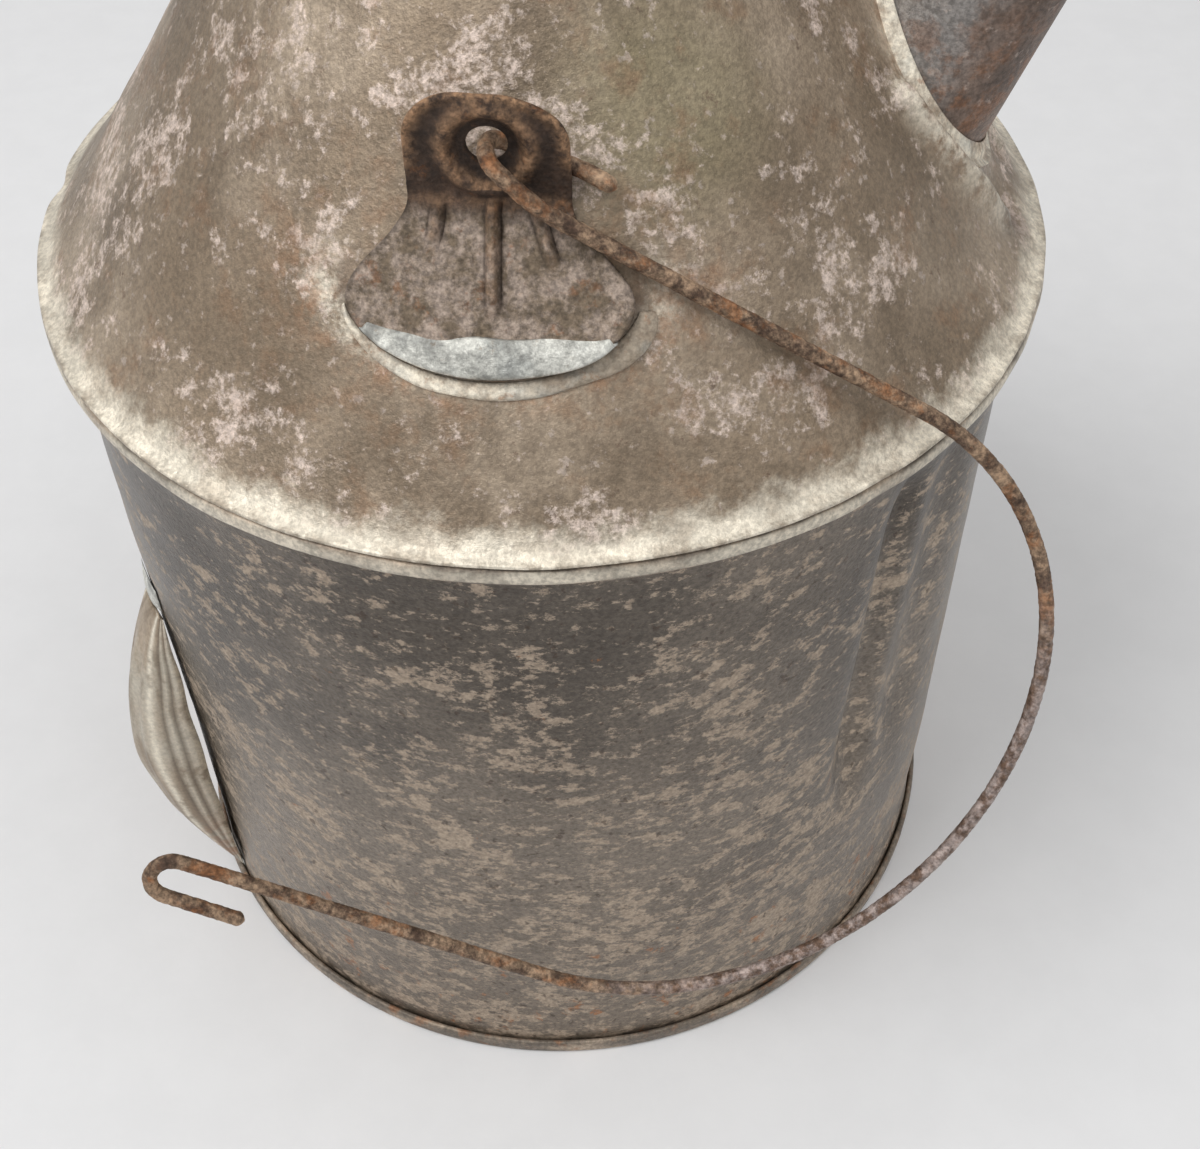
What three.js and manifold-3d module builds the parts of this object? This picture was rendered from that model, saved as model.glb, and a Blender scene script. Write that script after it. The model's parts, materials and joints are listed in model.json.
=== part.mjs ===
// Lamp-oil can of soldered sheet: a cylinder with a folded rim, a steep conical shoulder with filler
// neck and cap, a tapered pouring spout, two bail ears, a loose bail wire and a low tipping handle.
// Millimetres, +Z up. The origin is the middle of the base plate's underside. The spout leans towards
// +X, and the ear that holds the bail faces -Y.
import * as THREE from "three";
import { mergeVertices } from "three/addons/utils/BufferGeometryUtils.js";
import Module from "manifold-3d";

const wasm = await Module();
wasm.setup();

// Sheet, fits and finish
const SHEET = 0.8;
const GAP = 0.3;
const AROUND = 72;
const RAD = Math.PI / 180;

// Body, base and rim
const BODY_R = 103.7;
const RIM_Z = 195.5;
const BASE_BEAD_WIDE = 1.4;
const BASE_BEAD_TALL = 4.6;
const RIM_OVERHANG = 4.3;
const RIM_TALL = 4.8;
const CRIMP_WIDE = 1.5;
const CRIMP_TALL = 2.6;
const SEAM_WIDE = 7;
const SEAM_PROUD = 0.8;
const SEAM_AZ = 100;

// Shoulder and filler neck
const SHOULDER_INSET = 3.2;
const SHOULDER_SLOPE = 1.4;
const FILLET_RUN = 4;
const NECK_R = 24;
const NECK_TALL = 22;
const NECK_BEAD_R = 1.6;
const NECK_SOLDER = 3.2;

// Slip-on cap
const CAP_CLEARANCE = 0.4;
const CAP_SKIRT = 14;
const CAP_TOP_GAP = 2.6;
const KNOB_R = 7;
const KNOB_TALL = 9;

// Spout
const SPOUT_SEAT_R = 78;
const SPOUT_RISE = 66;
const SPOUT_ROOT_R = 18;
const SPOUT_TIP_R = 8;
const SPOUT_LONG = 124;
const SPOUT_BEAD_R = 1.3;
const SPOUT_SOLDER = 3.4;

// Bail ears
const EAR_SEAT_R = 69.3;
const EAR_HALF_WIDE = 13.8;
const EYE_ABOVE_CREASE = 10.3;
const EAR_ABOVE_EYE = 9.9;
const EAR_SHEET = 1.2;
const EAR_HOLE_R = 3.4;
const EAR_BOSS_R = 6.7;
const EAR_BOSS_PROUD = 0.9;
const EAR_FOOT_WIDE = 49.6;
const EAR_FOOT_DROP = 15.3;
const EAR_FOOT_BOW = 8.8;
const PLEAT_PROUD = 1.4;
const PLEAT_LONG = 8.5;
const MIDDLE_PLEAT_LONG = 14.5;
const EAR_SOLDER_TALL = 5.4;
const EAR_SOLDER_PROUD = 1;
const SCAR_PROUD = 0.6;
const SCAR_GROW = 2.4;
const SCAR_SHIFT = 2.4;
const SCAR_DROP = 1.2;

// Bail wire, laid out flat: two legs and an elliptical bow, with a hooked end on each leg
const WIRE_R = 1.6;
const LEG_SPACE = 144.5;
const LEG_LONG = 90.9;
const BOW_DEEP = 64.6;
const LEG_OFFSET = 3;
const LEG_SPLAY = 1;
const FREE_LEG_SHORTER = 11;
const HOOK_SPACE = 9;
const HOOK_TAIL = 17;
const LEG_STANDOFF = 4.35;
const TAIL_STANDOFF = 2.6;
const TAIL_DIP = 21;
const TAIL_END_LONG = 6.6;
const BAIL_AZ = 1.3;
const BAIL_DIP = 30.9;
const BAIL_ROLL = 67.7;
const REST_GAP = 0.35;

// Tipping handle
const HANDLE_AZ = 211;
const HANDLE_BOTTOM = 9;
const HANDLE_TOP = 116;
const HANDLE_PROUD = 15;
const HANDLE_WIDE = 20;
const HANDLE_END_WIDE = 13;
const HANDLE_SHEET = 1;
const HANDLE_EDGE_GAP = 1.4;
const HANDLE_SOLDER = 9;

// Colours and finishes
const FINISH = {
  body: { color: 0x8b8379, roughness: 0.6, metalness: 0.55 },
  shoulder: { color: 0x978c7b, roughness: 0.62, metalness: 0.5 },
  rim: { color: 0xc9c2b2, roughness: 0.55, metalness: 0.45 },
  ear: { color: 0x5a4436, roughness: 0.8, metalness: 0.3 },
  wire: { color: 0x7d6450, roughness: 0.75, metalness: 0.35 },
  solder: { color: 0xb9bbb8, roughness: 0.5, metalness: 0.6 },
  spout: { color: 0x6a5a4e, roughness: 0.65, metalness: 0.45 },
  cork: { color: 0x9a7b55, roughness: 0.9, metalness: 0 },
};

// Derived places shared by several pieces
const RIM_R = BODY_R + RIM_OVERHANG;
const SHOULDER_R = RIM_R - SHOULDER_INSET;
const shoulderZ = (r) => RIM_Z + (SHOULDER_R - r) * SHOULDER_SLOPE;
const shoulderR = (z) => SHOULDER_R - (z - RIM_Z) / SHOULDER_SLOPE;
const SLOPE_FACTOR = Math.hypot(1, SHOULDER_SLOPE);
const NECK_Z = shoulderZ(NECK_R);
const NECK_TOP = NECK_Z + NECK_TALL;
const EAR_CREASE_Z = shoulderZ(EAR_SEAT_R);
const EYE = new THREE.Vector3(0, -EAR_SEAT_R, EAR_CREASE_Z + EYE_ABOVE_CREASE);

const can = new THREE.Group();

function addPiece(name, geometry, finish) {
  const mesh = new THREE.Mesh(geometry, new THREE.MeshStandardMaterial(FINISH[finish]));
  mesh.name = name;
  can.add(mesh);
  return mesh;
}

// Solid of a closed geometry, turned the right way out
function solidOf(geometry) {
  const bare = geometry.index ? geometry.toNonIndexed() : geometry.clone();
  bare.deleteAttribute("normal");
  bare.deleteAttribute("uv");
  const merged = mergeVertices(bare, 1e-4);
  const triVerts = new Uint32Array(merged.index.array);
  const vertProperties = merged.attributes.position.array;
  return new wasm.Manifold(new wasm.Mesh({ numProp: 3, vertProperties, triVerts }));
}

function geometryOf(solid) {
  const mesh = solid.getMesh();
  const position = new Float32Array(mesh.numVert * 3);
  for (let i = 0; i < mesh.numVert; i += 1) {
    position.set(mesh.vertProperties.subarray(i * mesh.numProp, i * mesh.numProp + 3), i * 3);
  }
  const geometry = new THREE.BufferGeometry();
  geometry.setAttribute("position", new THREE.BufferAttribute(position, 3));
  geometry.setIndex(new THREE.BufferAttribute(mesh.triVerts, 1));
  return geometry;
}

// Turned solid about +Z from [radius, height] points, counter-clockwise with radius to the right
function turned(profile, segments = AROUND) {
  const points = profile.map(([r, z]) => new THREE.Vector2(r, z));
  const onAxis = profile[0][0] === 0;
  if (!onAxis) points.push(points[0].clone());
  return new THREE.LatheGeometry(points, segments).rotateX(Math.PI / 2);
}

// Round-section ring of tube radius t about +Z
function ringProfile(radius, z, t, sides = 10) {
  const profile = [];
  for (let i = 0; i < sides; i += 1) {
    const a = (2 * Math.PI * i) / sides;
    profile.push([radius + t * Math.cos(a), z + t * Math.sin(a)]);
  }
  return profile;
}

// Outline drawn in the X-Z plane, pushed through along Y from y = near to y = far
function slab(outline, near, far) {
  const shape = new THREE.Shape(outline.map(([x, z]) => new THREE.Vector2(x, z)));
  const geometry = new THREE.ExtrudeGeometry(shape, { depth: far - near, bevelEnabled: false });
  return geometry.rotateX(Math.PI / 2).translate(0, far, 0);
}

// Skin over the shoulder cone, from `low` to `high` above the sheet
function shoulderSkin(low, high) {
  const step = (h) => (h * SLOPE_FACTOR) / SHOULDER_SLOPE;
  const bottom = RIM_Z + FILLET_RUN;
  const top = NECK_Z;
  return solidOf(
    turned([
      [shoulderR(bottom) + step(low), bottom],
      [shoulderR(bottom) + step(high), bottom],
      [shoulderR(top) + step(high), top],
      [shoulderR(top) + step(low), top],
    ]),
  );
}

// Skin over the body cylinder, from `low` to `high` outside the sheet
function bodySkin(low, high) {
  return solidOf(
    turned([
      [BODY_R + low, BASE_BEAD_TALL],
      [BODY_R + high, BASE_BEAD_TALL],
      [BODY_R + high, RIM_Z - RIM_TALL],
      [BODY_R + low, RIM_Z - RIM_TALL],
    ]),
  );
}

// Body, base, rim

function buildBody() {
  const inside = BODY_R - SHEET;
  const top = RIM_Z - SHEET - GAP;
  const low = SHEET + GAP;
  addPiece("body_shell", turned([[inside, low], [BODY_R, low], [BODY_R, top], [inside, top]]), "body");
  addPiece("base_plate", turned([[0, 0], [BODY_R, 0], [BODY_R, SHEET], [0, SHEET]]), "body");
  const beadIn = BODY_R + GAP;
  const beadOut = BODY_R + BASE_BEAD_WIDE + GAP;
  const soft = BASE_BEAD_WIDE / 2;
  addPiece(
    "base_bead",
    turned([
      [beadIn, 0],
      [beadOut - soft / 2, 0],
      [beadOut, soft],
      [beadOut, BASE_BEAD_TALL - soft],
      [beadOut - soft, BASE_BEAD_TALL],
      [beadIn, BASE_BEAD_TALL],
    ]),
    "rim",
  );
}

function buildBodySeam() {
  const half = SEAM_WIDE / 2;
  const low = BASE_BEAD_TALL + GAP;
  const high = RIM_Z - RIM_TALL - CRIMP_TALL - 2 * GAP;
  const outline = [[-half, low], [half, low], [half, high], [-half, high]];
  const strip = solidOf(slab(outline, -BODY_R - 5, -BODY_R / 2));
  const seam = geometryOf(strip.intersect(bodySkin(GAP, GAP + SEAM_PROUD)));
  addPiece("body_side_seam", seam.rotateZ((SEAM_AZ + 90) * RAD), "solder");
}

function buildRim() {
  const inner = BODY_R + GAP;
  const top = RIM_Z - SHEET - GAP;
  const bottom = RIM_Z - RIM_TALL;
  const soft = 1.1;
  addPiece(
    "rim_fold",
    turned([
      [inner, bottom],
      [RIM_R - soft, bottom],
      [RIM_R, bottom + soft],
      [RIM_R, top - soft / 2],
      [RIM_R - soft / 2, top],
      [inner, top],
    ]),
    "rim",
  );
  const crimpTop = bottom - GAP;
  const middle = crimpTop - CRIMP_TALL / 2;
  addPiece(
    "rim_crimp",
    turned([
      [inner, crimpTop - CRIMP_TALL],
      [inner + CRIMP_WIDE, middle],
      [inner, crimpTop],
    ]),
    "body",
  );
}

// Shoulder, neck and cap

// Spout axis frame: local +Z runs up the spout from the seat on the shoulder
function alongSpout(geometry) {
  const lean = (90 - SPOUT_RISE) * RAD;
  return geometry.rotateY(lean).translate(SPOUT_SEAT_R, 0, shoulderZ(SPOUT_SEAT_R));
}

const spoutRadius = (s) => SPOUT_ROOT_R + ((SPOUT_TIP_R - SPOUT_ROOT_R) * s) / SPOUT_LONG;

function spoutPlug(extra, from, to) {
  const profile = [[0, from], [spoutRadius(from) + extra, from], [spoutRadius(to) + extra, to], [0, to]];
  return solidOf(alongSpout(turned(profile, 40)));
}

function buildShoulder() {
  const wallR = (SHEET * SLOPE_FACTOR) / SHOULDER_SLOPE;
  const flange = RIM_R - GAP;
  const run = FILLET_RUN;
  const foot = shoulderR(RIM_Z + run);
  const sheet = turned([
    [SHOULDER_R - wallR - run, RIM_Z - SHEET],
    [flange, RIM_Z - SHEET],
    [flange, RIM_Z],
    [SHOULDER_R - 0.1, RIM_Z],
    [foot - run * 0.15, RIM_Z + run * 0.45],
    [foot - run * 0.28, RIM_Z + run],
    [NECK_R, NECK_Z],
    [NECK_R - wallR, NECK_Z],
    [foot - run * 0.28 - wallR, RIM_Z + run],
  ]);
  const hole = spoutPlug(-SHEET, -30, 30);
  addPiece("shoulder_cone", geometryOf(solidOf(sheet).subtract(hole)), "shoulder");
}

function buildShoulderSeam() {
  const half = SEAM_WIDE / 2;
  const low = RIM_Z + FILLET_RUN + 3;
  const high = NECK_Z - NECK_SOLDER * 2;
  const outline = [[-half, low], [half, low], [half, high], [-half, high]];
  const strip = solidOf(slab(outline, -RIM_R, -NECK_R / 2));
  const seam = geometryOf(strip.intersect(shoulderSkin(GAP, GAP + SEAM_PROUD)));
  addPiece("shoulder_seam", seam.rotateZ((SEAM_AZ + 90 + 30) * RAD), "solder");
}

function buildNeck() {
  const inside = NECK_R - SHEET;
  const low = NECK_Z + GAP;
  const neck = [[inside, low], [NECK_R, low], [NECK_R, NECK_TOP], [inside, NECK_TOP]];
  addPiece("neck_collar", turned(neck, 56), "shoulder");
  const beadZ = NECK_TOP + GAP + NECK_BEAD_R;
  const beadR = NECK_R - SHEET / 2;
  addPiece("neck_bead", turned(ringProfile(beadR, beadZ, NECK_BEAD_R), 56), "rim");
  const solderR = NECK_R + GAP;
  addPiece(
    "neck_solder",
    turned([
      [solderR, NECK_Z + GAP],
      [solderR + NECK_SOLDER * 0.55, NECK_Z + GAP],
      [solderR, NECK_Z + NECK_SOLDER],
    ], 56),
    "solder",
  );
}

function buildCap() {
  const inner = NECK_R + NECK_BEAD_R + CAP_CLEARANCE;
  const outer = inner + SHEET;
  const under = NECK_TOP + 2 * NECK_BEAD_R + GAP + CAP_TOP_GAP;
  const top = under + SHEET;
  const skirt = under - CAP_SKIRT;
  const soft = 1.6;
  addPiece(
    "filler_cap",
    turned([
      [0, under],
      [inner, under],
      [inner, skirt],
      [outer, skirt],
      [outer, top - soft],
      [outer - soft, top],
      [0, top],
    ], 56),
    "rim",
  );
  addPiece("cap_edge_bead", turned(ringProfile(outer + GAP + 1.1, skirt + 1.1, 1.1, 8), 56), "rim");
  const corkR = NECK_R + NECK_BEAD_R;
  const corkLow = under - GAP - (CAP_TOP_GAP - 2 * GAP);
  addPiece(
    "cap_cork_disc",
    turned([[0, corkLow], [corkR, corkLow], [corkR, under - GAP], [0, under - GAP]], 40),
    "cork",
  );
  const foot = top + GAP;
  addPiece(
    "cap_knob",
    turned([
      [0, foot],
      [KNOB_R * 0.8, foot],
      [KNOB_R * 0.5, foot + KNOB_TALL * 0.3],
      [KNOB_R * 0.62, foot + KNOB_TALL * 0.5],
      [KNOB_R, foot + KNOB_TALL * 0.7],
      [KNOB_R * 0.85, foot + KNOB_TALL * 0.92],
      [0, foot + KNOB_TALL],
    ], 32),
    "rim",
  );
}

// Spout

function buildSpout() {
  const overSheet = shoulderSkinSolid(GAP);
  const tube = spoutPlug(0, -20, SPOUT_LONG).subtract(spoutPlug(-SHEET, -25, SPOUT_LONG + 5));
  addPiece("spout_tube", geometryOf(largestOf(tube.subtract(overSheet))), "spout");
  const tip = turned(ringProfile(SPOUT_TIP_R - SHEET / 2, SPOUT_LONG + GAP + SPOUT_BEAD_R, SPOUT_BEAD_R), 32);
  addPiece("spout_tip_bead", alongSpout(tip), "spout");
  const collar = spoutPlug(GAP + SPOUT_SOLDER, -25, 30).subtract(spoutPlug(GAP, -30, 40));
  const root = collar.intersect(shoulderSkin(GAP, GAP + SPOUT_SOLDER * 0.7));
  addPiece("spout_root_solder", geometryOf(largestOf(root)), "solder");
}

// Everything under the shoulder's outer face, raised by `extra`
function shoulderSkinSolid(extra) {
  const step = (extra * SLOPE_FACTOR) / SHOULDER_SLOPE;
  const tip = shoulderZ(0);
  return solidOf(turned([[0, 0], [shoulderR(0) + step, 0], [step, tip], [0, tip]]));
}

function largestOf(solid) {
  return solid.decompose().reduce((a, b) => (a.volume() > b.volume() ? a : b));
}

// Bail ears

function arcPoints(x, z, r, from, to, steps) {
  const points = [];
  for (let i = 0; i <= steps; i += 1) {
    const a = (from + ((to - from) * i) / steps) * RAD;
    points.push([x + r * Math.cos(a), z + r * Math.sin(a)]);
  }
  return points;
}

// Height of the foot's bowed lower edge at x, for a foot grown all round by `grow`
function footEdge(x, grow = 0) {
  const half = EAR_FOOT_WIDE / 2 + grow;
  const share = Math.sqrt(Math.max(0, 1 - (x / half) ** 2));
  return EAR_CREASE_Z - EAR_FOOT_DROP - (EAR_FOOT_BOW + grow) * share;
}

// Outline of the foot laid on the shoulder: flared sides and a bowed lower edge
function footOutline(grow = 0) {
  const half = EAR_FOOT_WIDE / 2 + grow;
  const crease = EAR_HALF_WIDE + grow;
  const outline = [];
  for (let i = 0; i <= 20; i += 1) {
    const x = -half * Math.cos((Math.PI * i) / 20);
    outline.push([x, footEdge(x, grow)]);
  }
  const flare = [0.15, 0.32, 0.5, 0.68, 0.85, 1].map((t) => {
    const x = half - (half - crease) * THREE.MathUtils.smoothstep(t, 0, 1);
    return [x, EAR_CREASE_Z - EAR_FOOT_DROP * (1 - t)];
  });
  outline.push(...flare);
  outline.push(...flare.reverse().map(([x, z]) => [-x, z]));
  return outline;
}

// Upright plate of the ear: straight sides and a flattened round top
function eyeOutline() {
  const outline = [[-EAR_HALF_WIDE, EAR_CREASE_Z - 1], [EAR_HALF_WIDE, EAR_CREASE_Z - 1]];
  for (let i = 0; i <= 16; i += 1) {
    const a = (Math.PI * i) / 16;
    const x = EAR_HALF_WIDE * Math.sign(Math.cos(a)) * Math.abs(Math.cos(a)) ** 0.75;
    outline.push([x, EYE.z + EAR_ABOVE_EYE * Math.sin(a) ** 0.8]);
  }
  return outline;
}

// Raised rib that runs down the foot from the crease, `side` of the middle
function pleatSolid(side) {
  const low = EAR_CREASE_Z - (side === 0 ? MIDDLE_PLEAT_LONG : PLEAT_LONG);
  const x = side * EAR_HALF_WIDE * 0.8;
  const top = side * EAR_HALF_WIDE * 0.6;
  const rib = [[x - 0.7, low], [x + 0.7, low], [top + 1.1, EAR_CREASE_Z], [top - 1.1, EAR_CREASE_Z]];
  return solidOf(slab(rib, -RIM_R, -NECK_R)).intersect(shoulderSkin(GAP, GAP + EAR_SHEET + PLEAT_PROUD));
}

function earSolid() {
  const half = EAR_SHEET / 2;
  const plate = solidOf(slab(eyeOutline(), EYE.y - half, EYE.y + half));
  const bossOutline = arcPoints(0, EYE.z, EAR_BOSS_R, 0, 345, 23);
  const boss = solidOf(slab(bossOutline, EYE.y - half - EAR_BOSS_PROUD, EYE.y));
  const holeOutline = arcPoints(0, EYE.z, EAR_HOLE_R, 0, 345, 23);
  const hole = solidOf(slab(holeOutline, EYE.y - 5, EYE.y + 5));
  const foot = solidOf(slab(footOutline(), -RIM_R, -NECK_R)).intersect(shoulderSkin(GAP, GAP + EAR_SHEET));
  let ear = plate.add(boss).subtract(hole).subtract(shoulderSkinSolid(GAP)).add(foot);
  for (const side of [-1, 0, 1]) ear = ear.add(pleatSolid(side));
  return largestOf(ear);
}

// Solder laid on the foot along its bowed edge
function earSolderSolid() {
  const half = EAR_FOOT_WIDE / 2 - 3.5;
  const band = [];
  for (let i = 0; i <= 14; i += 1) {
    const x = -half * Math.cos((Math.PI * i) / 14);
    band.push([x, footEdge(x) + 0.7]);
  }
  for (let i = 14; i >= 0; i -= 1) {
    const x = -half * Math.cos((Math.PI * i) / 14);
    const swell = EAR_SOLDER_TALL * (1 - 0.75 * (x / half) ** 2);
    band.push([x, footEdge(x) + 0.9 + swell]);
  }
  const low = 2 * GAP + EAR_SHEET;
  return solidOf(slab(band, -RIM_R, -NECK_R)).intersect(shoulderSkin(low, low + EAR_SOLDER_PROUD));
}

function buildEars() {
  const ear = earSolid();
  const solder = earSolderSolid();
  addPiece("front_ear", geometryOf(ear), "ear");
  addPiece("front_ear_solder", geometryOf(solder), "solder");
  addPiece("rear_ear", geometryOf(ear).rotateZ(Math.PI), "ear");
  addPiece("rear_ear_solder", geometryOf(solder).rotateZ(Math.PI), "solder");
}

// Crescent of bare solder on the shoulder, left where the front ear sat before it was refixed
function buildOldScar() {
  const earlier = footOutline(SCAR_GROW).map(([x, z]) => [x + SCAR_SHIFT, z - SCAR_DROP]);
  const lower = earlier.filter(([, z]) => z < EAR_CREASE_Z - SCAR_DROP - 9);
  const now = solidOf(slab(footOutline(2 * GAP), -RIM_R, -NECK_R));
  const skin = shoulderSkin(GAP, GAP + SCAR_PROUD);
  const scar = solidOf(slab(lower, -RIM_R, -NECK_R)).intersect(skin).subtract(now);
  addPiece("old_solder_scar", geometryOf(largestOf(scar)), "solder");
}

// Bail wire

// Curve through given points, stepping point by point
class WireRoute extends THREE.Curve {
  constructor(points) {
    super();
    this.points = points;
  }
  getPoint(t, target = new THREE.Vector3()) {
    const place = t * (this.points.length - 1);
    const i = Math.min(Math.floor(place), this.points.length - 2);
    return target.lerpVectors(this.points[i], this.points[i + 1], place - i);
  }
  getPointAt(t, target) {
    return this.getPoint(t, target);
  }
  getTangentAt(t, target = new THREE.Vector3()) {
    const half = 0.5 / (this.points.length - 1);
    const ahead = this.getPoint(Math.min(1, t + half));
    return target.subVectors(ahead, this.getPoint(Math.max(0, t - half))).normalize();
  }
}

// Points of a corner at `mid` between two straights, rounded off over `reach`
function corner(before, mid, after, reach, steps = 7) {
  const start = mid.clone().add(before.clone().sub(mid).setLength(reach));
  const end = mid.clone().add(after.clone().sub(mid).setLength(reach));
  return new THREE.QuadraticBezierCurve3(start, mid, end).getPoints(steps);
}

// Places in the bail's own plane: `across` from the hooked leg to the free one, `ahead` to the bow
function bailFrame() {
  const az = BAIL_AZ * RAD;
  const dip = BAIL_DIP * RAD;
  const roll = BAIL_ROLL * RAD;
  const ahead = new THREE.Vector3(Math.cos(dip) * Math.cos(az), Math.cos(dip) * Math.sin(az), -Math.sin(dip));
  const level = new THREE.Vector3(Math.sin(az), -Math.cos(az), 0);
  const down = new THREE.Vector3().crossVectors(ahead, level);
  const across = level.multiplyScalar(Math.cos(roll)).addScaledVector(down, Math.sin(roll));
  return { ahead, across };
}

function bailPoints() {
  const { ahead, across } = bailFrame();
  const lead = EYE.clone().add(new THREE.Vector3(0, -LEG_STANDOFF, 0));
  const back = EYE.clone().add(new THREE.Vector3(0, TAIL_STANDOFF, 0));
  const at = (a, b) => lead.clone().addScaledVector(across, a).addScaledVector(ahead, b);
  const dip = TAIL_DIP * RAD;
  const pastPlate = (EAR_HALF_WIDE + WIRE_R) / Math.cos(dip);
  const knee = back.clone().add(new THREE.Vector3(Math.cos(dip), 0, -Math.sin(dip)).setLength(pastPlate));
  const tailEnd = knee.clone().add(new THREE.Vector3(2, -1, -0.5).setLength(TAIL_END_LONG));
  const legStart = at(LEG_OFFSET, LEG_STANDOFF * 2.6);
  const points = [tailEnd];
  points.push(...corner(tailEnd, knee, back, TAIL_END_LONG * 0.4, 4));
  points.push(...corner(knee, back, lead, TAIL_STANDOFF * 0.9));
  points.push(...corner(back, lead, legStart, LEG_STANDOFF * 0.8));
  const bowStart = LEG_OFFSET + LEG_SPLAY;
  points.push(...corner(lead, legStart, at(bowStart, LEG_LONG), LEG_STANDOFF, 4));
  points.push(at(bowStart - LEG_SPLAY / 2, LEG_LONG / 2));
  const middle = bowStart + LEG_SPACE / 2;
  for (let i = 0; i <= 36; i += 1) {
    const a = Math.PI * (1 - i / 36);
    points.push(at(middle + (LEG_SPACE / 2) * Math.cos(a), LEG_LONG + BOW_DEEP * Math.sin(a)));
  }
  const free = bowStart + LEG_SPACE + LEG_SPLAY;
  points.push(at(free - LEG_SPLAY / 2, LEG_LONG / 2));
  const hookR = HOOK_SPACE / 2;
  for (let i = 0; i <= 10; i += 1) {
    const a = Math.PI * (1 + i / 10);
    points.push(at(free + hookR + hookR * Math.cos(a), FREE_LEG_SHORTER + hookR * Math.sin(a)));
  }
  points.push(at(free + HOOK_SPACE, FREE_LEG_SHORTER + HOOK_TAIL));
  return points;
}

// Distance of a point outside the can's turned outline, negative inside it
function clearance(point) {
  const r = Math.hypot(point.x, point.y);
  const outline = [[BODY_R, 0], [BODY_R, RIM_Z - RIM_TALL], [RIM_R, RIM_Z - RIM_TALL], [RIM_R, RIM_Z]];
  outline.push([shoulderR(RIM_Z), RIM_Z], [NECK_R, NECK_Z], [NECK_R, NECK_TOP]);
  let least = Infinity;
  let inside = false;
  for (let i = 0; i < outline.length - 1; i += 1) {
    const [r0, z0] = outline[i];
    const [r1, z1] = outline[i + 1];
    const span = (r1 - r0) ** 2 + (z1 - z0) ** 2;
    const t = THREE.MathUtils.clamp(((r - r0) * (r1 - r0) + (point.z - z0) * (z1 - z0)) / span, 0, 1);
    least = Math.min(least, Math.hypot(r - r0 - t * (r1 - r0), point.z - z0 - t * (z1 - z0)));
    if (point.z >= z0 && point.z < z1 && r < r0 + ((r1 - r0) * (point.z - z0)) / (z1 - z0)) inside = true;
  }
  return inside ? -least : least;
}

// The bail swung about the eye's axis until it just rests on the rim
function restingBail() {
  const axis = new THREE.Vector3(0, -1, 0);
  const laid = bailPoints();
  for (let swing = -20; swing < 60; swing += 0.25) {
    const placed = laid.map((p) => p.clone().sub(EYE).applyAxisAngle(axis, swing * RAD).add(EYE));
    const near = Math.min(...placed.slice(8).map(clearance));
    if (near >= WIRE_R + REST_GAP) return placed;
  }
  return laid;
}

function buildBail() {
  const section = new THREE.Shape();
  section.absarc(0, 0, WIRE_R, 0, 2 * Math.PI);
  const route = new WireRoute(restingBail());
  const options = { steps: route.points.length - 1, curveSegments: 4, extrudePath: route };
  addPiece("bail_wire", new THREE.ExtrudeGeometry(section, options), "wire");
}

// Tipping handle

// How far the crown stands off at height share t, fuller above the middle
const handleRise = (t) => Math.sin(Math.PI * t ** 1.08) ** 0.85;

function handleSide(inset, edge) {
  const steps = 22;
  const tall = HANDLE_TOP - HANDLE_BOTTOM;
  const wall = GAP + SHEET * 1.4;
  const outer = [];
  const inner = [];
  for (let i = 0; i <= steps; i += 1) {
    const t = i / steps;
    const z = HANDLE_BOTTOM + inset + (tall - 2 * inset) * t;
    outer.push([BODY_R + wall + (HANDLE_PROUD - inset) * handleRise(t), z]);
    inner.push([BODY_R + GAP + edge * Math.sin(Math.PI * t), z]);
  }
  return outer.concat(inner.reverse());
}

// The side view lies in the radial plane and is pushed through sideways by `wide`
function handleSlab(inset, edge, wide) {
  const shape = new THREE.Shape(handleSide(inset, edge).map(([r, z]) => new THREE.Vector2(r, z)));
  const options = { depth: wide, bevelEnabled: false };
  return solidOf(new THREE.ExtrudeGeometry(shape, options).rotateX(Math.PI / 2).translate(0, wide / 2, 0));
}

// Outline seen from outside: widest in the middle and narrowing to both ends
function handleFace(inset) {
  const right = [];
  const left = [];
  for (let i = 0; i <= 16; i += 1) {
    const t = i / 16;
    const half = (HANDLE_END_WIDE + (HANDLE_WIDE - HANDLE_END_WIDE) * Math.sin(Math.PI * t)) / 2 - inset;
    const z = HANDLE_BOTTOM + (HANDLE_TOP - HANDLE_BOTTOM) * t;
    right.push([half, z]);
    left.push([-half, z]);
  }
  const face = slab(right.concat(left.reverse()), -HANDLE_PROUD - BODY_R - 5, -BODY_R + 8);
  return solidOf(face.rotateZ(Math.PI / 2));
}

function buildHandle() {
  const blank = handleSlab(0, HANDLE_EDGE_GAP, HANDLE_WIDE + 4).intersect(handleFace(0));
  const hollow = handleSlab(HANDLE_SHEET, -4, HANDLE_WIDE + 4).intersect(handleFace(HANDLE_SHEET));
  const clear = bodySkinPlug();
  const shell = largestOf(blank.subtract(hollow).subtract(clear));
  addPiece("tipping_handle", geometryOf(shell).rotateZ(HANDLE_AZ * RAD), "body");
  for (const [name, z, way] of [
    ["handle_top_solder", HANDLE_TOP, 1],
    ["handle_bottom_solder", HANDLE_BOTTOM, -1],
  ]) {
    const room = way < 0 ? HANDLE_BOTTOM - BASE_BEAD_TALL - 2 * GAP : HANDLE_SOLDER;
    const tall = Math.min(HANDLE_SOLDER, room);
    const half = HANDLE_END_WIDE / 2 + 1;
    const near = z + way * GAP;
    const far = z + way * (GAP + tall);
    const outline = [[-half, near], [half, near], [half * 0.7, far], [-half * 0.7, far]];
    if (way < 0) outline.reverse();
    const pad = solidOf(slab(outline, -BODY_R - 5, -BODY_R / 2)).intersect(bodySkin(GAP, GAP + 1.4));
    addPiece(name, geometryOf(pad).rotateZ((HANDLE_AZ + 90) * RAD), "solder");
  }
}

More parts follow.
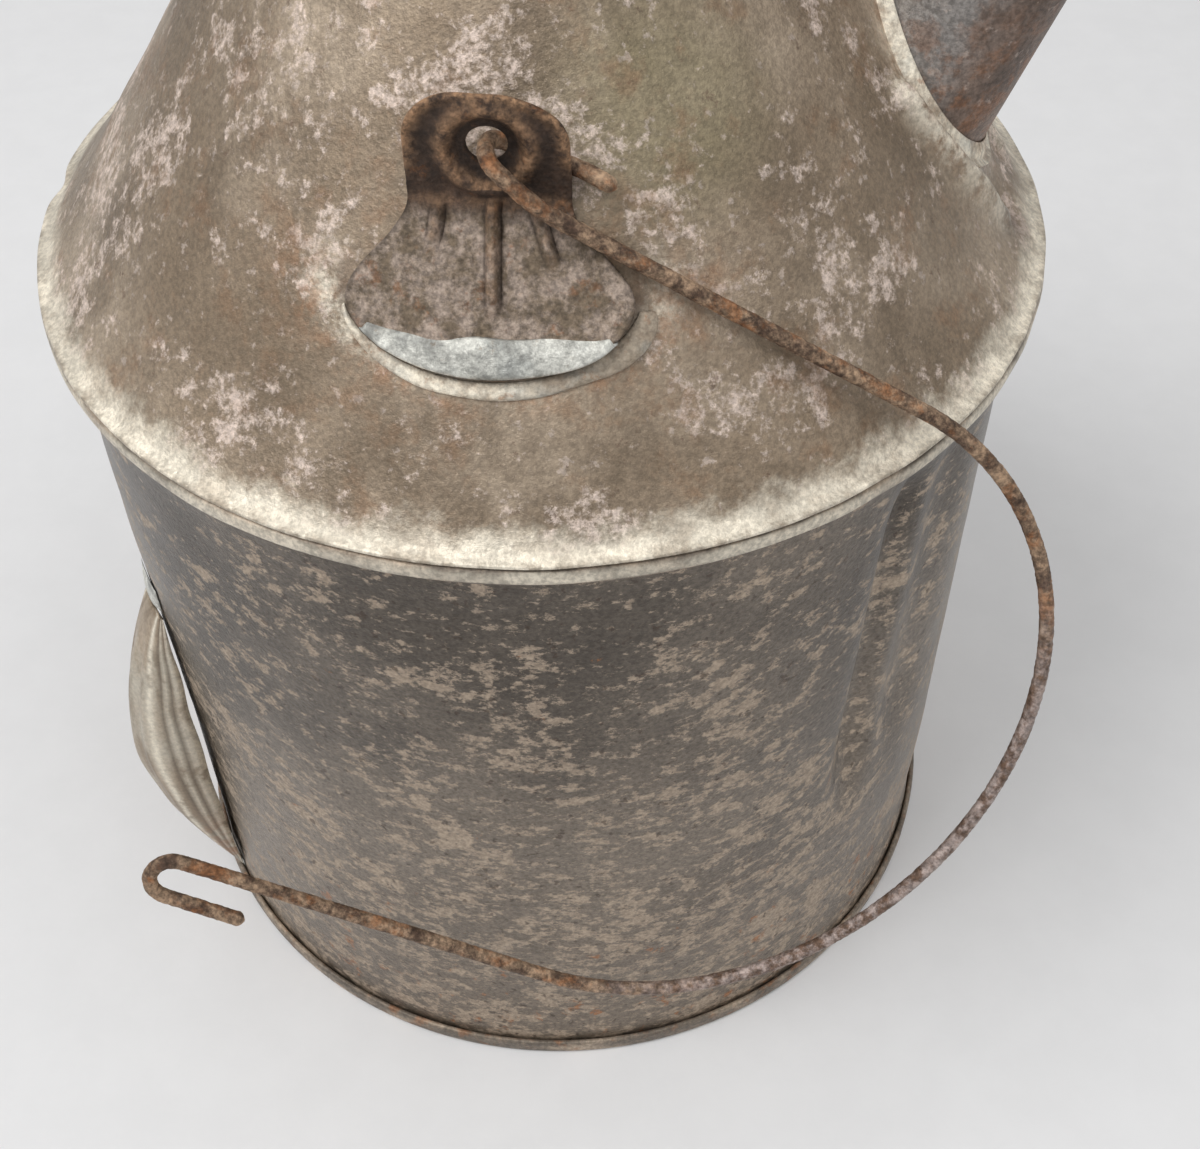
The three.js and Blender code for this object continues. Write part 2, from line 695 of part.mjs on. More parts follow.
function bodySkinPlug() {
  const r = BODY_R + GAP;
  return solidOf(turned([[0, -1], [r, -1], [r, RIM_Z], [0, RIM_Z]]));
}

buildBody();
buildBodySeam();
buildRim();
buildShoulder();
buildShoulderSeam();
buildNeck();
buildCap();
buildSpout();
buildEars();
buildOldScar();
buildBail();
buildHandle();

export default can;
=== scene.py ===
"""Old lamp-oil can of soldered sheet: tarnished body, steep conical shoulder, leaning spout, slip-on cap,
loose wire bail on soldered ears and a low tipping handle. Every surface is computed on a grid with numpy."""
import json

import bmesh
import bpy
import numpy as np
from bpy.props import FloatProperty, FloatVectorProperty, PointerProperty
from mathutils import Matrix, Vector


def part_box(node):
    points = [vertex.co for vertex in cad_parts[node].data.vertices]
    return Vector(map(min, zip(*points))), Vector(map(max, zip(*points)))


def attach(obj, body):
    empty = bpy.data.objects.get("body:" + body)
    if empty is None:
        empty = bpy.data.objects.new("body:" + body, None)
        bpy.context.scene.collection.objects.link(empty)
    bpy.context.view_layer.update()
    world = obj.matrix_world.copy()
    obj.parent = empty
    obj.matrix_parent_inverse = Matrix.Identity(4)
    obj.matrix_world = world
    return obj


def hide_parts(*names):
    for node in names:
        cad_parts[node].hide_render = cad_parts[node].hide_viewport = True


bl_info = {
    "name": "Lamp-oil can",
    "version": (1, 0, 0),
    "blender": (4, 5, 0),
    "location": "View3D > Sidebar > Oil can",
    "description": "Builds a weathered sheet-metal lamp-oil can, piece by piece",
    "category": "Add Mesh",
}

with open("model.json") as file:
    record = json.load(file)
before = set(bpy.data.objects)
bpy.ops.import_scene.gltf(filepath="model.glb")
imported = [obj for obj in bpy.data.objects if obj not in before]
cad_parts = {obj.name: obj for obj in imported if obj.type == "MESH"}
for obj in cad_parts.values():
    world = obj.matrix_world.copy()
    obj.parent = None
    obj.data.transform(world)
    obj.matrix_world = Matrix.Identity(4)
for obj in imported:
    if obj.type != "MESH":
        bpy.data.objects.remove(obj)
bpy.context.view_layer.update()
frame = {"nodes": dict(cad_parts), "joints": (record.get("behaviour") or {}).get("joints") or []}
MM = 0.001
RAD = np.pi / 180.0


def corners(node):
    """Lowest and highest corner of a node as two arrays."""
    low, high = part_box(node)
    return np.array(low), np.array(high)


# Places shared by several pieces, read from the solid model
BODY_R = corners("body_shell")[1][0]
BODY_LOW, BODY_HIGH = corners("body_shell")[0][2], corners("body_shell")[1][2]
RIM_R = corners("rim_fold")[1][0]
FLANGE_LOW = corners("shoulder_cone")[0][2]
RIM_Z = FLANGE_LOW + 0.8 * MM
NECK_R = corners("neck_collar")[1][0]
NECK_Z = corners("shoulder_cone")[1][2]
SLOPE = 1.4
SHOULDER_R = NECK_R + (NECK_Z - RIM_Z) / SLOPE
LEAN = np.hypot(1.0, SLOPE)
GAP = 0.3 * MM
EYE = np.array(frame["joints"][0]["pos_m"], float)
EAR_R = -EYE[1]
CREASE_Z = RIM_Z + (SHOULDER_R - EAR_R) * SLOPE
SPOUT_SEAT_R = 78 * MM
SPOUT_RISE = 66 * RAD
SPOUT_SEAT = np.array([SPOUT_SEAT_R, 0.0, RIM_Z + (SHOULDER_R - SPOUT_SEAT_R) * SLOPE])
SPOUT_AXIS = np.array([np.cos(SPOUT_RISE), 0.0, np.sin(SPOUT_RISE)])
SPOUT_LONG = 124 * MM
SPOUT_ROOT_R = 18 * MM
SPOUT_TIP_R = 8 * MM
SEAM_AZ = 100 * RAD
SHOULDER_SEAM_AZ = 130 * RAD
HANDLE_AZ = 211 * RAD


# Settings a user would change


class OilCanSizes(bpy.types.PropertyGroup):
    sheet: FloatProperty(name="Sheet", description="Thickness of the sheet", default=0.0008, unit="LENGTH")
    ear_sheet: FloatProperty(name="Ear sheet", description="Thickness of the ears", default=0.0012, unit="LENGTH")
    ripple: FloatProperty(
        name="Ripple", description="Depth of the shallow waves in the sheet", default=0.0005, unit="LENGTH"
    )
    side_dent: FloatProperty(
        name="Side dent", description="Depth of the crease in the body", default=0.0060, unit="LENGTH"
    )
    rim_kink: FloatProperty(
        name="Rim kink", description="Depth of the knock in the rim", default=0.0016, unit="LENGTH"
    )
    spout_fold: FloatProperty(
        name="Spout fold", description="Height of the fold beside the spout", default=0.0030, unit="LENGTH"
    )
    wire: FloatProperty(name="Bail wire", description="Radius of the bail wire", default=0.0016, unit="LENGTH")
    pits: FloatProperty(
        name="Wire pits", description="Depth of the rust pits in the wire", default=0.00020, unit="LENGTH"
    )
    lumps: FloatProperty(name="Solder lumps", description="Unevenness of the solder", default=0.0004, unit="LENGTH")


def colour(name, words, value):
    return FloatVectorProperty(name=name, description=words, subtype="COLOR", size=3, min=0.0, max=1.0, default=value)


class OilCanColours(bpy.types.PropertyGroup):
    cone_dark: colour("Cone, dark", "Dark tarnish on the shoulder", (0.250, 0.188, 0.128))
    cone_mid: colour("Cone, mid", "Main tarnish on the shoulder", (0.44, 0.352, 0.262))
    cone_patch: colour("Cone, patches", "Pinkish oxide blotches", (0.80, 0.665, 0.585))
    body_dark: colour("Body, dark", "Dark tarnish on the body", (0.090, 0.075, 0.061))
    body_mid: colour("Body, mid", "Main tarnish on the body", (0.185, 0.155, 0.125))
    body_patch: colour("Body, flecks", "Tan flecks on the body", (0.50, 0.40, 0.305))
    worn: colour("Rubbed edge", "Pale metal where edges are rubbed", (0.95, 0.87, 0.72))
    rust: colour("Rust", "Orange rust", (0.36, 0.145, 0.05))
    rust_dark: colour("Dark rust", "Brown-black rust", (0.055, 0.033, 0.022))
    solder: colour("Solder", "Matte grey solder", (0.66, 0.655, 0.60))
    spout: colour("Spout", "Dark brown spout sheet", (0.135, 0.098, 0.078))
    cork: colour("Cork", "Cork disc in the cap", (0.46, 0.32, 0.19))
    floor: colour("Floor", "Pale plain floor", (0.80, 0.80, 0.805))


def sizes():
    return bpy.context.scene.oil_can_sizes


def shade(name, dim=1.0):
    """A named colour as four numbers, its brightness times dim."""
    return tuple(dim * c for c in getattr(bpy.context.scene.oil_can_colours, name)) + (1.0,)


# Shape tools


def ripple(points, size, seed, waves=18):
    """Smooth unevenness between about -1 and 1: the mean of sine waves of length near `size`, each running in
    its own random direction with its own phase."""
    rng = np.random.default_rng(seed)
    way = rng.normal(size=(waves, 3))
    way *= (2 * np.pi / size * rng.uniform(0.6, 1.5, waves) / np.linalg.norm(way, axis=1))[:, None]
    phase = rng.uniform(0, 2 * np.pi, waves)
    return np.sin(points @ way.T + phase).sum(-1) / np.sqrt(waves / 2.0) * 0.5


def bump(x, width):
    """Bell curve: 1 at x = 0, falling to 1/e at x = width."""
    return np.exp(-((x / width) ** 2))


def ease(x, low, high):
    """Smooth step from 0 at low to 1 at high."""
    t = np.clip((x - low) / (high - low), 0.0, 1.0)
    return t * t * (3 - 2 * t)


def grid_faces(rows, columns, loop_rows, loop_columns, start=0):
    """Quads between neighbours of a grid; a looped side joins its last line to its first."""
    r = np.arange(rows if loop_rows else rows - 1)
    c = np.arange(columns if loop_columns else columns - 1)
    a, b = np.meshgrid(r, c, indexing="ij")
    a2, b2 = (a + 1) % rows, (b + 1) % columns
    quads = np.stack([a * columns + b, a2 * columns + b, a2 * columns + b2, a * columns + b2], -1)
    return quads.reshape(-1, 4) + start


def outward(points, faces):
    """The faces, turned round if the volume they enclose comes out negative."""
    a, b, c = (points[faces[:, k]] for k in range(3))
    d = points[faces[:, -1]]
    volume = (a * np.cross(b, c)).sum() + (a * np.cross(c, d)).sum()
    return faces if volume > 0 else faces[:, ::-1]


def add_piece(name, points, faces, finish, body, slot, replaces=(), marks=None):
    """Makes a smooth mesh object of the points and faces, welds its seams and poles, and puts it on its body. Marks
    are named values per point that the finish reads."""
    mesh = bpy.data.meshes.new(name)
    mesh.from_pydata(points.reshape(-1, 3).tolist(), [], faces.tolist())
    for key, values in (marks or {}).items():
        mesh.attributes.new(key, "FLOAT", "POINT").data.foreach_set("value", values.ravel())
    work = bmesh.new()
    work.from_mesh(mesh)
    bmesh.ops.remove_doubles(work, verts=work.verts, dist=2e-7)
    bmesh.ops.recalc_face_normals(work, faces=work.faces)
    work.to_mesh(mesh)
    work.free()
    mesh.polygons.foreach_set("use_smooth", np.ones(len(mesh.polygons), bool))
    mesh.materials.append(finish)
    piece = bpy.data.objects.new(name, mesh)
    bpy.context.scene.collection.objects.link(piece)
    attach(piece, body)
    if replaces:
        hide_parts(*replaces)
    return piece


def add_loop(name, grid, *details):
    """A ring-shaped surface: the grid joins up both ways round."""
    points = grid.reshape(-1, 3)
    faces = outward(points, grid_faces(grid.shape[0], grid.shape[1], True, True))
    return add_piece(name, points, faces, *details)


def add_tube(name, grid, *details):
    """A long closed surface: each row of the grid is a loop, and the first and last are closed by a fan."""
    rows, columns = grid.shape[:2]
    points = np.vstack([grid.reshape(-1, 3), grid[0].mean(0), grid[-1].mean(0)])
    side = grid_faces(rows, columns, False, True)
    k = np.arange(columns)
    k2 = (k + 1) % columns
    first = np.full(columns, rows * columns)
    last = first + 1
    low = np.stack([k, k2, first, first], -1)
    high = np.stack([(rows - 1) * columns + k2, (rows - 1) * columns + k, last, last], -1)
    faces = outward(points, np.vstack([side, low, high]))
    return add_piece(name, points, faces, *details)


def turned(profile, around, shape=None):
    """Points of a profile of (radius, height) carried round the axis; `shape` may move them: it takes the points
    and their angles and returns new points."""
    profile = np.asarray(profile, float)
    az = np.linspace(0, 2 * np.pi, around, endpoint=False)
    a, r = np.meshgrid(az, profile[:, 0], indexing="ij")
    z = np.broadcast_to(profile[:, 1], r.shape)
    grid = np.stack([r * np.cos(a), r * np.sin(a), z], -1)
    return grid if shape is None else shape(grid, a)


def rounded_box(x0, x1, z0, z1, power, steps):
    """Profile of a rounded rectangle: a superellipse of the given power filling the box."""
    t = np.linspace(0, 2 * np.pi, steps, endpoint=False)
    c, s = np.cos(t), np.sin(t)
    x = (x0 + x1) / 2 + (x1 - x0) / 2 * np.sign(c) * np.abs(c) ** (2 / power)
    z = (z0 + z1) / 2 + (z1 - z0) / 2 * np.sign(s) * np.abs(s) ** (2 / power)
    return np.stack([x, z], -1)


def even_steps(knots, steps):
    """Evenly spaced points along the straight pieces between corner points."""
    knots = np.asarray(knots, float)
    along = np.concatenate([[0], np.cumsum(np.linalg.norm(np.diff(knots, axis=0), axis=1))])
    t = np.linspace(0, along[-1], steps)
    return np.stack([np.interp(t, along, knots[:, k]) for k in range(knots.shape[1])], -1)


def soften(line, times):
    """Averages each point of a line with its two neighbours, several times, holding the ends."""
    line = line.copy()
    for _ in range(times):
        line[1:-1] = 0.25 * line[:-2] + 0.5 * line[1:-1] + 0.25 * line[2:]
    return line


def cone_point(x, z, lift):
    """Point of the front of the shoulder at sideways place x and height z, lifted off the sheet by `lift`:
    the cone's radius at that height grows by the lift measured along the slope."""
    r = SHOULDER_R - (z - RIM_Z) / SLOPE + lift * LEAN / SLOPE
    return np.stack([x, -np.sqrt(np.maximum(r * r - x * x, 0)), z], -1)


def cone_height(r):
    """Height of the shoulder's outer face at radius r: a flat flange that curves softly up into the cone."""
    w = 1.7 * MM
    return RIM_Z - 0.35 * MM + SLOPE * w * np.logaddexp(0, (SHOULDER_R - r) / w)


def spin(points, angle):
    """Points turned about the vertical axis."""
    c, s = np.cos(angle), np.sin(angle)
    return points @ np.array([[c, s, 0], [-s, c, 0], [0, 0, 1]])


def turn_gap(a, centre):
    """Signed angle from centre to a, between -pi and pi."""
    return (a - centre + np.pi) % (2 * np.pi) - np.pi


# Materials


class Finish:
    """A node material being put together, with short calls for the nodes that the finishes share."""

    def __init__(self, name):
        self.material = bpy.data.materials.new(name)
        self.material.use_nodes = True
        self.tree = self.material.node_tree
        self.tree.nodes.clear()
        self.place = self.add("ShaderNodeTexCoord").outputs["Object"]

    def add(self, kind, feeds=(), **settings):
        node = self.tree.nodes.new(kind)
        for key, value in settings.items():
            setattr(node, key, value)
        for key, value in dict(feeds).items():
            self.feed(node.inputs[key], value)
        return node

    def feed(self, socket, value):
        if isinstance(value, bpy.types.NodeSocket):
            self.tree.links.new(value, socket)
        else:
            socket.default_value = value

    def noise(self, size, detail=3.0, rough=0.55, stretch=(1, 1, 1), shift=0.0):
        """Cloudy noise between 0 and 1 with features of about `size` metres."""
        scale = tuple(k / size for k in stretch)
        place = self.add(
            "ShaderNodeMapping", {"Vector": self.place, "Scale": scale, "Location": (shift, shift * 0.7, -shift)}
        )
        feeds = {"Vector": place.outputs[0], "Scale": 1.0, "Detail": detail, "Roughness": rough}
        return self.add("ShaderNodeTexNoise", feeds).outputs["Fac"]

    def cells(self, size, shift=0.0):
        """Distance to scattered points, about `size` metres apart."""
        place = self.add(
            "ShaderNodeMapping", {"Vector": self.place, "Scale": (1 / size,) * 3, "Location": (shift,) * 3}
        )
        return self.add("ShaderNodeTexVoronoi", {"Vector": place.outputs[0], "Scale": 1.0}).outputs["Distance"]

    def mark(self, name):
        """Value kept per point of the mesh under that name, 0 where a piece has none."""
        return self.add("ShaderNodeAttribute", attribute_name=name).outputs["Fac"]

    def times(self, a, b):
        return self.add("ShaderNodeMath", {0: a, 1: b}, operation="MULTIPLY").outputs[0]

    def plus(self, a, b):
        return self.add("ShaderNodeMath", {0: a, 1: b}, operation="ADD").outputs[0]

    def less(self, a, b):
        return self.add("ShaderNodeMath", {0: a, 1: b}, operation="SUBTRACT").outputs[0]

    def scaled(self, value, factor, offset):
        """value * factor + offset."""
        return self.add("ShaderNodeMath", {0: value, 1: factor, 2: offset}, operation="MULTIPLY_ADD").outputs[0]

    def between(self, value, low, high):
        """0 below low, 1 above high and smooth between; low may be the larger."""
        feeds = {"Value": value, "From Min": low, "From Max": high}
        return self.add("ShaderNodeMapRange", feeds, interpolation_type="SMOOTHSTEP").outputs["Result"]

    def mix(self, share, a, b, how="MIX"):
        return self.add("ShaderNodeMix", {0: share, 6: a, 7: b}, data_type="RGBA", blend_type=how).outputs[2]

    def drifts(self, low, high, *noise, **more):
        """Patches of cloudy noise: 0 where it is below low, 1 above high."""
        return self.between(self.noise(*noise, **more), low, high)

    def lay(self, base, coat, where, share):
        """The coat laid over the base where `where` is 1, covering the given share."""
        return self.mix(self.times(where, share), base, coat)

    def height(self):
        return self.add("ShaderNodeSeparateXYZ", {0: self.place}).outputs["Z"]

    def radius(self):
        """Distance from the can's vertical axis."""
        flat = self.add("ShaderNodeMapping", {"Vector": self.place, "Scale": (1, 1, 0)})
        return self.add("ShaderNodeVectorMath", {0: flat.outputs[0]}, operation="LENGTH").outputs["Value"]

    def near(self, point, inner, outer):
        """1 within `inner` metres of a point, 0 beyond `outer`."""
        away = self.add(
            "ShaderNodeVectorMath", {0: self.place, 1: tuple(point)}, operation="DISTANCE"
        ).outputs["Value"]
        return self.between(away, outer, inner)

    def grime(self, base, amount=0.3):
        """Fine grain: the colour made a little darker or lighter grain by grain."""
        grain = self.noise(0.0011, 2.0, 0.7, shift=3.1)
        dots = self.mix(self.between(grain, 0.30, 0.70), (1 - amount,) * 3 + (1,), (1 + amount,) * 3 + (1,))
        return self.mix(1.0, base, dots, "MULTIPLY")

    def done(self, base, rough, metal, height, depth, gloss=0.5):
        relief = self.add("ShaderNodeBump", {"Height": height, "Strength": 1.0, "Distance": depth})
        feeds = {"Base Color": base, "Roughness": rough, "Metallic": metal, "Normal": relief.outputs[0]}
        skin = self.add("ShaderNodeBsdfPrincipled", feeds)
        skin.inputs["Specular IOR Level"].default_value = gloss
        out = self.add("ShaderNodeOutputMaterial")
        self.tree.links.new(skin.outputs[0], out.inputs["Surface"])
        return self.material


def finish_of(make):
    """The material that `make` describes, made on first use and named after it."""
    return bpy.data.materials.get(make.__name__) or make(Finish(make.__name__))


def tarnished_cone(f):
    """Olive-brown tarnish with mottled pinkish blotches; pale along the flange, where rubbed wear carries a painted
    highlight, and round old solder; painted highlights on the fold crests beside the spout and painted shade at the
    ears' feet and in the hollow below the spout.
    """
    cloud = f.noise(0.05, 5, 0.6)
    base = f.mix(f.between(cloud, 0.36, 0.66), shade("cone_dark"), shade("cone_mid"))
    streak = f.noise(0.018, 4, 0.6, (1, 1, 0.3), 5)
    base = f.mix(f.between(streak, 0.42, 0.72), base, shade("cone_dark", 0.8))
    bloom = f.near((-0.002, -0.056, 0.264), 0.006, 0.032)
    olive = f.near((0.029, -0.055, 0.255), 0.006, 0.028)
    base = f.lay(base, (0.27, 0.235, 0.135, 1.0), olive, 0.55)
    spread = f.noise(0.024, 4, 0.55, shift=9)
    break_up = f.noise(0.0046, 7, 0.75, shift=2)
    where = f.plus(spread, f.times(f.less(break_up, 0.5), 1.0))
    where = f.plus(where, f.less(f.times(bloom, 0.09), f.times(olive, 0.10)))
    blotch = f.between(where, 0.53, 0.63)
    speck = f.drifts(0.36, 0.62, 0.0022, 4, 0.8, shift=1)
    base = f.lay(base, shade("cone_patch"), blotch, f.times(speck, 0.85))
    flecks = f.drifts(0.60, 0.68, 0.0030, 4, 0.65, shift=7)
    base = f.lay(base, shade("cone_patch", 0.8), flecks, 0.5)
    pits = f.drifts(0.59, 0.68, 0.0040, 6, 0.8, shift=12)
    base = f.lay(base, shade("rust_dark", 2.4), pits, 0.6)
    warm = f.drifts(0.52, 0.68, 0.013, 5, 0.7, shift=15)
    base = f.lay(base, (0.27, 0.155, 0.085, 1.0), warm, 0.45)
    radius = f.radius()
    # Pale band along the flange: rubbed wear together with a painted highlight on its rounded edge.
    wear_and_sheen = f.plus(radius, f.times(f.less(f.noise(0.008, 6, 0.7, shift=4), 0.5), 0.011))
    band = f.between(wear_and_sheen, 0.1005, 0.1056)
    worn = f.mix(f.drifts(0.38, 0.62, 0.009, 4, 0.6, shift=11), shade("worn", 0.76), shade("worn"))
    base = f.lay(base, worn, band, 0.92)
    stain = f.drifts(0.50, 0.64, 0.010, 6, 0.72, shift=21)
    base = f.lay(base, shade("cone_mid", 0.8), f.times(band, stain), 0.5)
    ragged = f.drifts(0.36, 0.58, 0.005, 6, 0.72, shift=8)
    # Pale marks: old solder remains round the ears' feet, wear round the spout's collar and a painted highlight on the
    # fold crests beside the spout.
    base = f.lay(base, shade("worn", 0.9), f.mark("pale"), ragged)
    rusty = f.times(f.mark("rusty"), f.drifts(0.42, 0.62, 0.005, 6, 0.72, shift=6))
    base = f.lay(base, shade("rust", 1.05), rusty, 0.6)
    # Painted shade just outside the lower edge of the ears' feet and in the hollow below the spout.
    base = f.lay(base, shade("rust_dark", 1.6), f.mark("dirty"), 0.75)
    dirt = f.times(f.between(radius, 0.1058, 0.1078), f.drifts(0.42, 0.60, 0.0045, 5, 0.72, shift=3))
    base = f.lay(base, shade("cone_dark", 0.9), dirt, 0.65)
    rough = f.scaled(blotch, 0.16, 0.42)
    relief = f.plus(f.times(break_up, 0.9), f.times(f.noise(0.0008, 2, 0.6), 0.4))
    return f.done(f.grime(base, 0.18), rough, 0.42, relief, 0.00045)


def tarnished_body(f):
    """Dark brown-grey tarnish with flecks and drifts of tan, rust spots towards the foot and pale streaks, kept darker
    just under the rim as painted shade.
    """
    cloud = f.noise(0.07, 5, 0.6, shift=1)
    base = f.mix(f.between(cloud, 0.36, 0.66), shade("body_dark"), shade("body_mid"))
    height = f.height()
    low = f.between(height, 0.15, 0.02)
    base = f.lay(base, shade("body_patch", 0.55), low, 0.5)
    spread = f.noise(0.030, 4, 0.6, (1, 1, 1.2), 2)
    break_up = f.noise(0.0050, 7, 0.75, (0.85, 0.85, 1.35), 3)
    where = f.plus(f.scaled(spread, 0.5, 0.25), f.times(f.less(break_up, 0.5), 1.35))
    # Fewer tan drifts near the top keep the wall darker just under the rim: painted shade cast by the rim.
    lift = f.plus(f.times(low, 0.03), f.times(f.between(height, 0.185, 0.150), 0.05))
    drift = f.between(f.plus(where, lift), 0.565, 0.67)
    base = f.lay(base, shade("body_patch"), drift, 0.72)
    flecks = f.drifts(0.64, 0.71, 0.0030, 3, 0.6, (0.8, 0.8, 1.6), 7)
    base = f.lay(base, shade("body_patch", 1.05), flecks, 0.5)
    rust = f.between(
        f.plus(f.noise(0.0075, 5, 0.7, shift=5), f.times(f.between(height, 0.10, 0.0), 0.11)), 0.68, 0.76
    )
    base = f.lay(base, shade("rust"), rust, 0.75)
    pits = f.drifts(0.64, 0.71, 0.0024, 2, 0.5, shift=12)
    base = f.lay(base, shade("rust_dark"), pits, 0.6)
    rough = f.scaled(drift, 0.2, 0.31)
    relief = f.plus(f.times(break_up, 0.7), f.times(f.noise(0.0009, 2, 0.6), 0.4))
    return f.done(f.grime(base, 0.24), rough, 0.66, relief, 0.0003)


def rubbed_edge(f):
    """Sheet rubbed pale along folds and beads, with brown left in the hollows."""
    cloud = f.noise(0.012, 6, 0.68)
    base = f.mix(f.between(cloud, 0.38, 0.60), shade("cone_mid", 0.8), shade("worn"))
    rust = f.drifts(0.60, 0.72, 0.006, 5, 0.7, shift=4)
    base = f.lay(base, shade("rust", 0.8), rust, 0.6)
    relief = f.noise(0.0014, 5, 0.7, shift=2)
    return f.done(f.grime(base, 0.22), 0.46, 0.40, relief, 0.0003)


def grimy_fold(f):
    """The folded and crimped parts below the rim: rubbed on the outside, dark with dirt in the creases."""
    cloud = f.noise(0.014, 6, 0.66, (1, 1, 2))
    base = f.mix(f.between(cloud, 0.40, 0.66), shade("body_mid", 0.9), shade("body_patch", 0.9))
    wear = f.between(f.plus(f.radius(), f.times(f.noise(0.007, 4, 0.6), 0.0012)), 0.1077, 0.1086)
    base = f.lay(base, shade("worn", 0.85), wear, 0.75)
    foot = f.between(f.height(), 0.02, 0.004)
    rust = f.times(foot, f.drifts(0.5, 0.66, 0.005, 5, 0.7, shift=4))
    base = f.lay(base, shade("rust", 0.9), rust, 0.5)
    relief = f.noise(0.0016, 5, 0.7, shift=2)
    return f.done(f.grime(base, 0.25), 0.48, 0.45, relief, 0.0003)


def rusty_ear(f):
    """Dark brown rusted sheet, greyer with tan specks on the foot, with a painted highlight in rust orange along the
    rims and pleat crests and near-black painted shade in the hollows.
    """
    cloud = f.noise(0.010, 6, 0.68)
    plate = f.mix(f.between(cloud, 0.36, 0.64), shade("rust_dark", 0.6), shade("rust_dark", 1.5))
    foot = f.mix(f.drifts(0.40, 0.62, 0.005, 6, 0.72, shift=5), shade("cone_dark", 0.75), (0.42, 0.335, 0.275, 1.0))
    is_foot = f.between(f.height(), CREASE_Z + 0.0005, CREASE_Z - 0.0035)
    base = f.mix(is_foot, plate, foot)
    spots = f.drifts(0.56, 0.68, 0.0042, 5, 0.72, shift=8)
    base = f.lay(base, shade("rust", 0.7), spots, 0.5)
    ragged = f.drifts(0.34, 0.58, 0.0032, 5, 0.7, shift=3)
    # Painted highlight in rust orange along the pleat crests, the plate's rim and the ring round the eye.
    base = f.lay(base, (0.40, 0.235, 0.13, 1.0), f.mark("ridge"), ragged)
    # Painted shade, near black, in the pleats' hollows, along the foot's edges and round the eye's ring.
    base = f.lay(base, shade("rust_dark", 0.6), f.mark("hollow"), 0.85)
    relief = f.plus(f.noise(0.0022, 6, 0.75, shift=1), f.times(f.cells(0.0012), 0.4))
    return f.done(f.grime(base, 0.35), 0.60, 0.30, relief, 0.0007)


def rusty_wire(f):
    """Iron wire: rough orange-brown rust, giving way to smoother purplish grey along the bow."""
    scale = f.noise(0.0045, 6, 0.75)
    rusted = f.mix(f.between(scale, 0.38, 0.64), shade("rust_dark", 1.7), (0.42, 0.29, 0.19, 1.0))
    orange = f.drifts(0.50, 0.66, 0.007, 5, 0.7, shift=3)
    rusted = f.mix(f.times(orange, 0.6), rusted, shade("rust", 0.95))
    smooth = f.mix(f.drifts(0.38, 0.62, 0.003, 5, 0.7, shift=6), shade("rust_dark", 2.6), (0.40, 0.325, 0.295, 1.0))
    x_place = f.add("ShaderNodeSeparateXYZ", {0: f.place}).outputs["X"]
    bow = f.between(f.less(x_place, f.times(f.height(), 0.62)), -0.045, 0.005)
    bow = f.times(bow, f.between(f.height(), 0.178, 0.135))
    base = f.mix(bow, rusted, smooth)
    rough = f.scaled(bow, -0.28, 0.68)
    relief = f.noise(0.0012, 5, 0.75, shift=1)
    return f.done(f.grime(base, 0.4), rough, 0.42, relief, 0.00035)


def grey_solder(f):
    """Matte grey solder with dull bluish and whitish drifts, brown dirt in patches and painted shade in the hollows.
    """
    cloud = f.noise(0.007, 6, 0.68)
    base = f.mix(f.between(cloud, 0.36, 0.62), shade("solder", 0.48), shade("solder", 1.1))
    cool = f.drifts(0.45, 0.65, 0.012, 4, 0.6, shift=5)
    base = f.lay(base, (0.44, 0.47, 0.46, 1.0), cool, 0.25)
    # Painted shade in the hollows, where a piece carries the mark.
    base = f.lay(base, shade("cone_dark", 0.8), f.mark("hollow"), 0.6)
    dirt = f.drifts(0.57, 0.70, 0.0036, 5, 0.72, shift=2)
    base = f.lay(base, shade("cone_dark", 0.9), dirt, 0.6)
    relief = f.noise(0.0020, 5, 0.72, shift=1)
    return f.done(f.grime(base, 0.22), 0.42, 0.42, relief, 0.0006)


def pale_scar(f):
    """Whitish remains of solder, thin over the brown sheet and rusty along the edge."""
    cloud = f.noise(0.006, 6, 0.7)
    base = f.mix(f.between(cloud, 0.34, 0.60), shade("cone_mid", 1.0), shade("worn", 0.92))
    # Painted shade where the piece carries the hollow mark, as under the lifted edge of the ear's foot.
    base = f.lay(base, shade("cone_mid", 0.75), f.mark("hollow"), 0.8)
    cool = f.drifts(0.5, 0.7, 0.010, 4, 0.6, shift=5)
    base = f.lay(base, (0.50, 0.54, 0.52, 1.0), cool, 0.4)
    rust = f.drifts(0.58, 0.70, 0.004, 5, 0.7, shift=3)
    base = f.lay(base, shade("rust", 1.0), rust, 0.5)
    relief = f.noise(0.0018, 5, 0.72, shift=1)
    return f.done(f.grime(base, 0.2), 0.55, 0.3, relief, 0.0005)


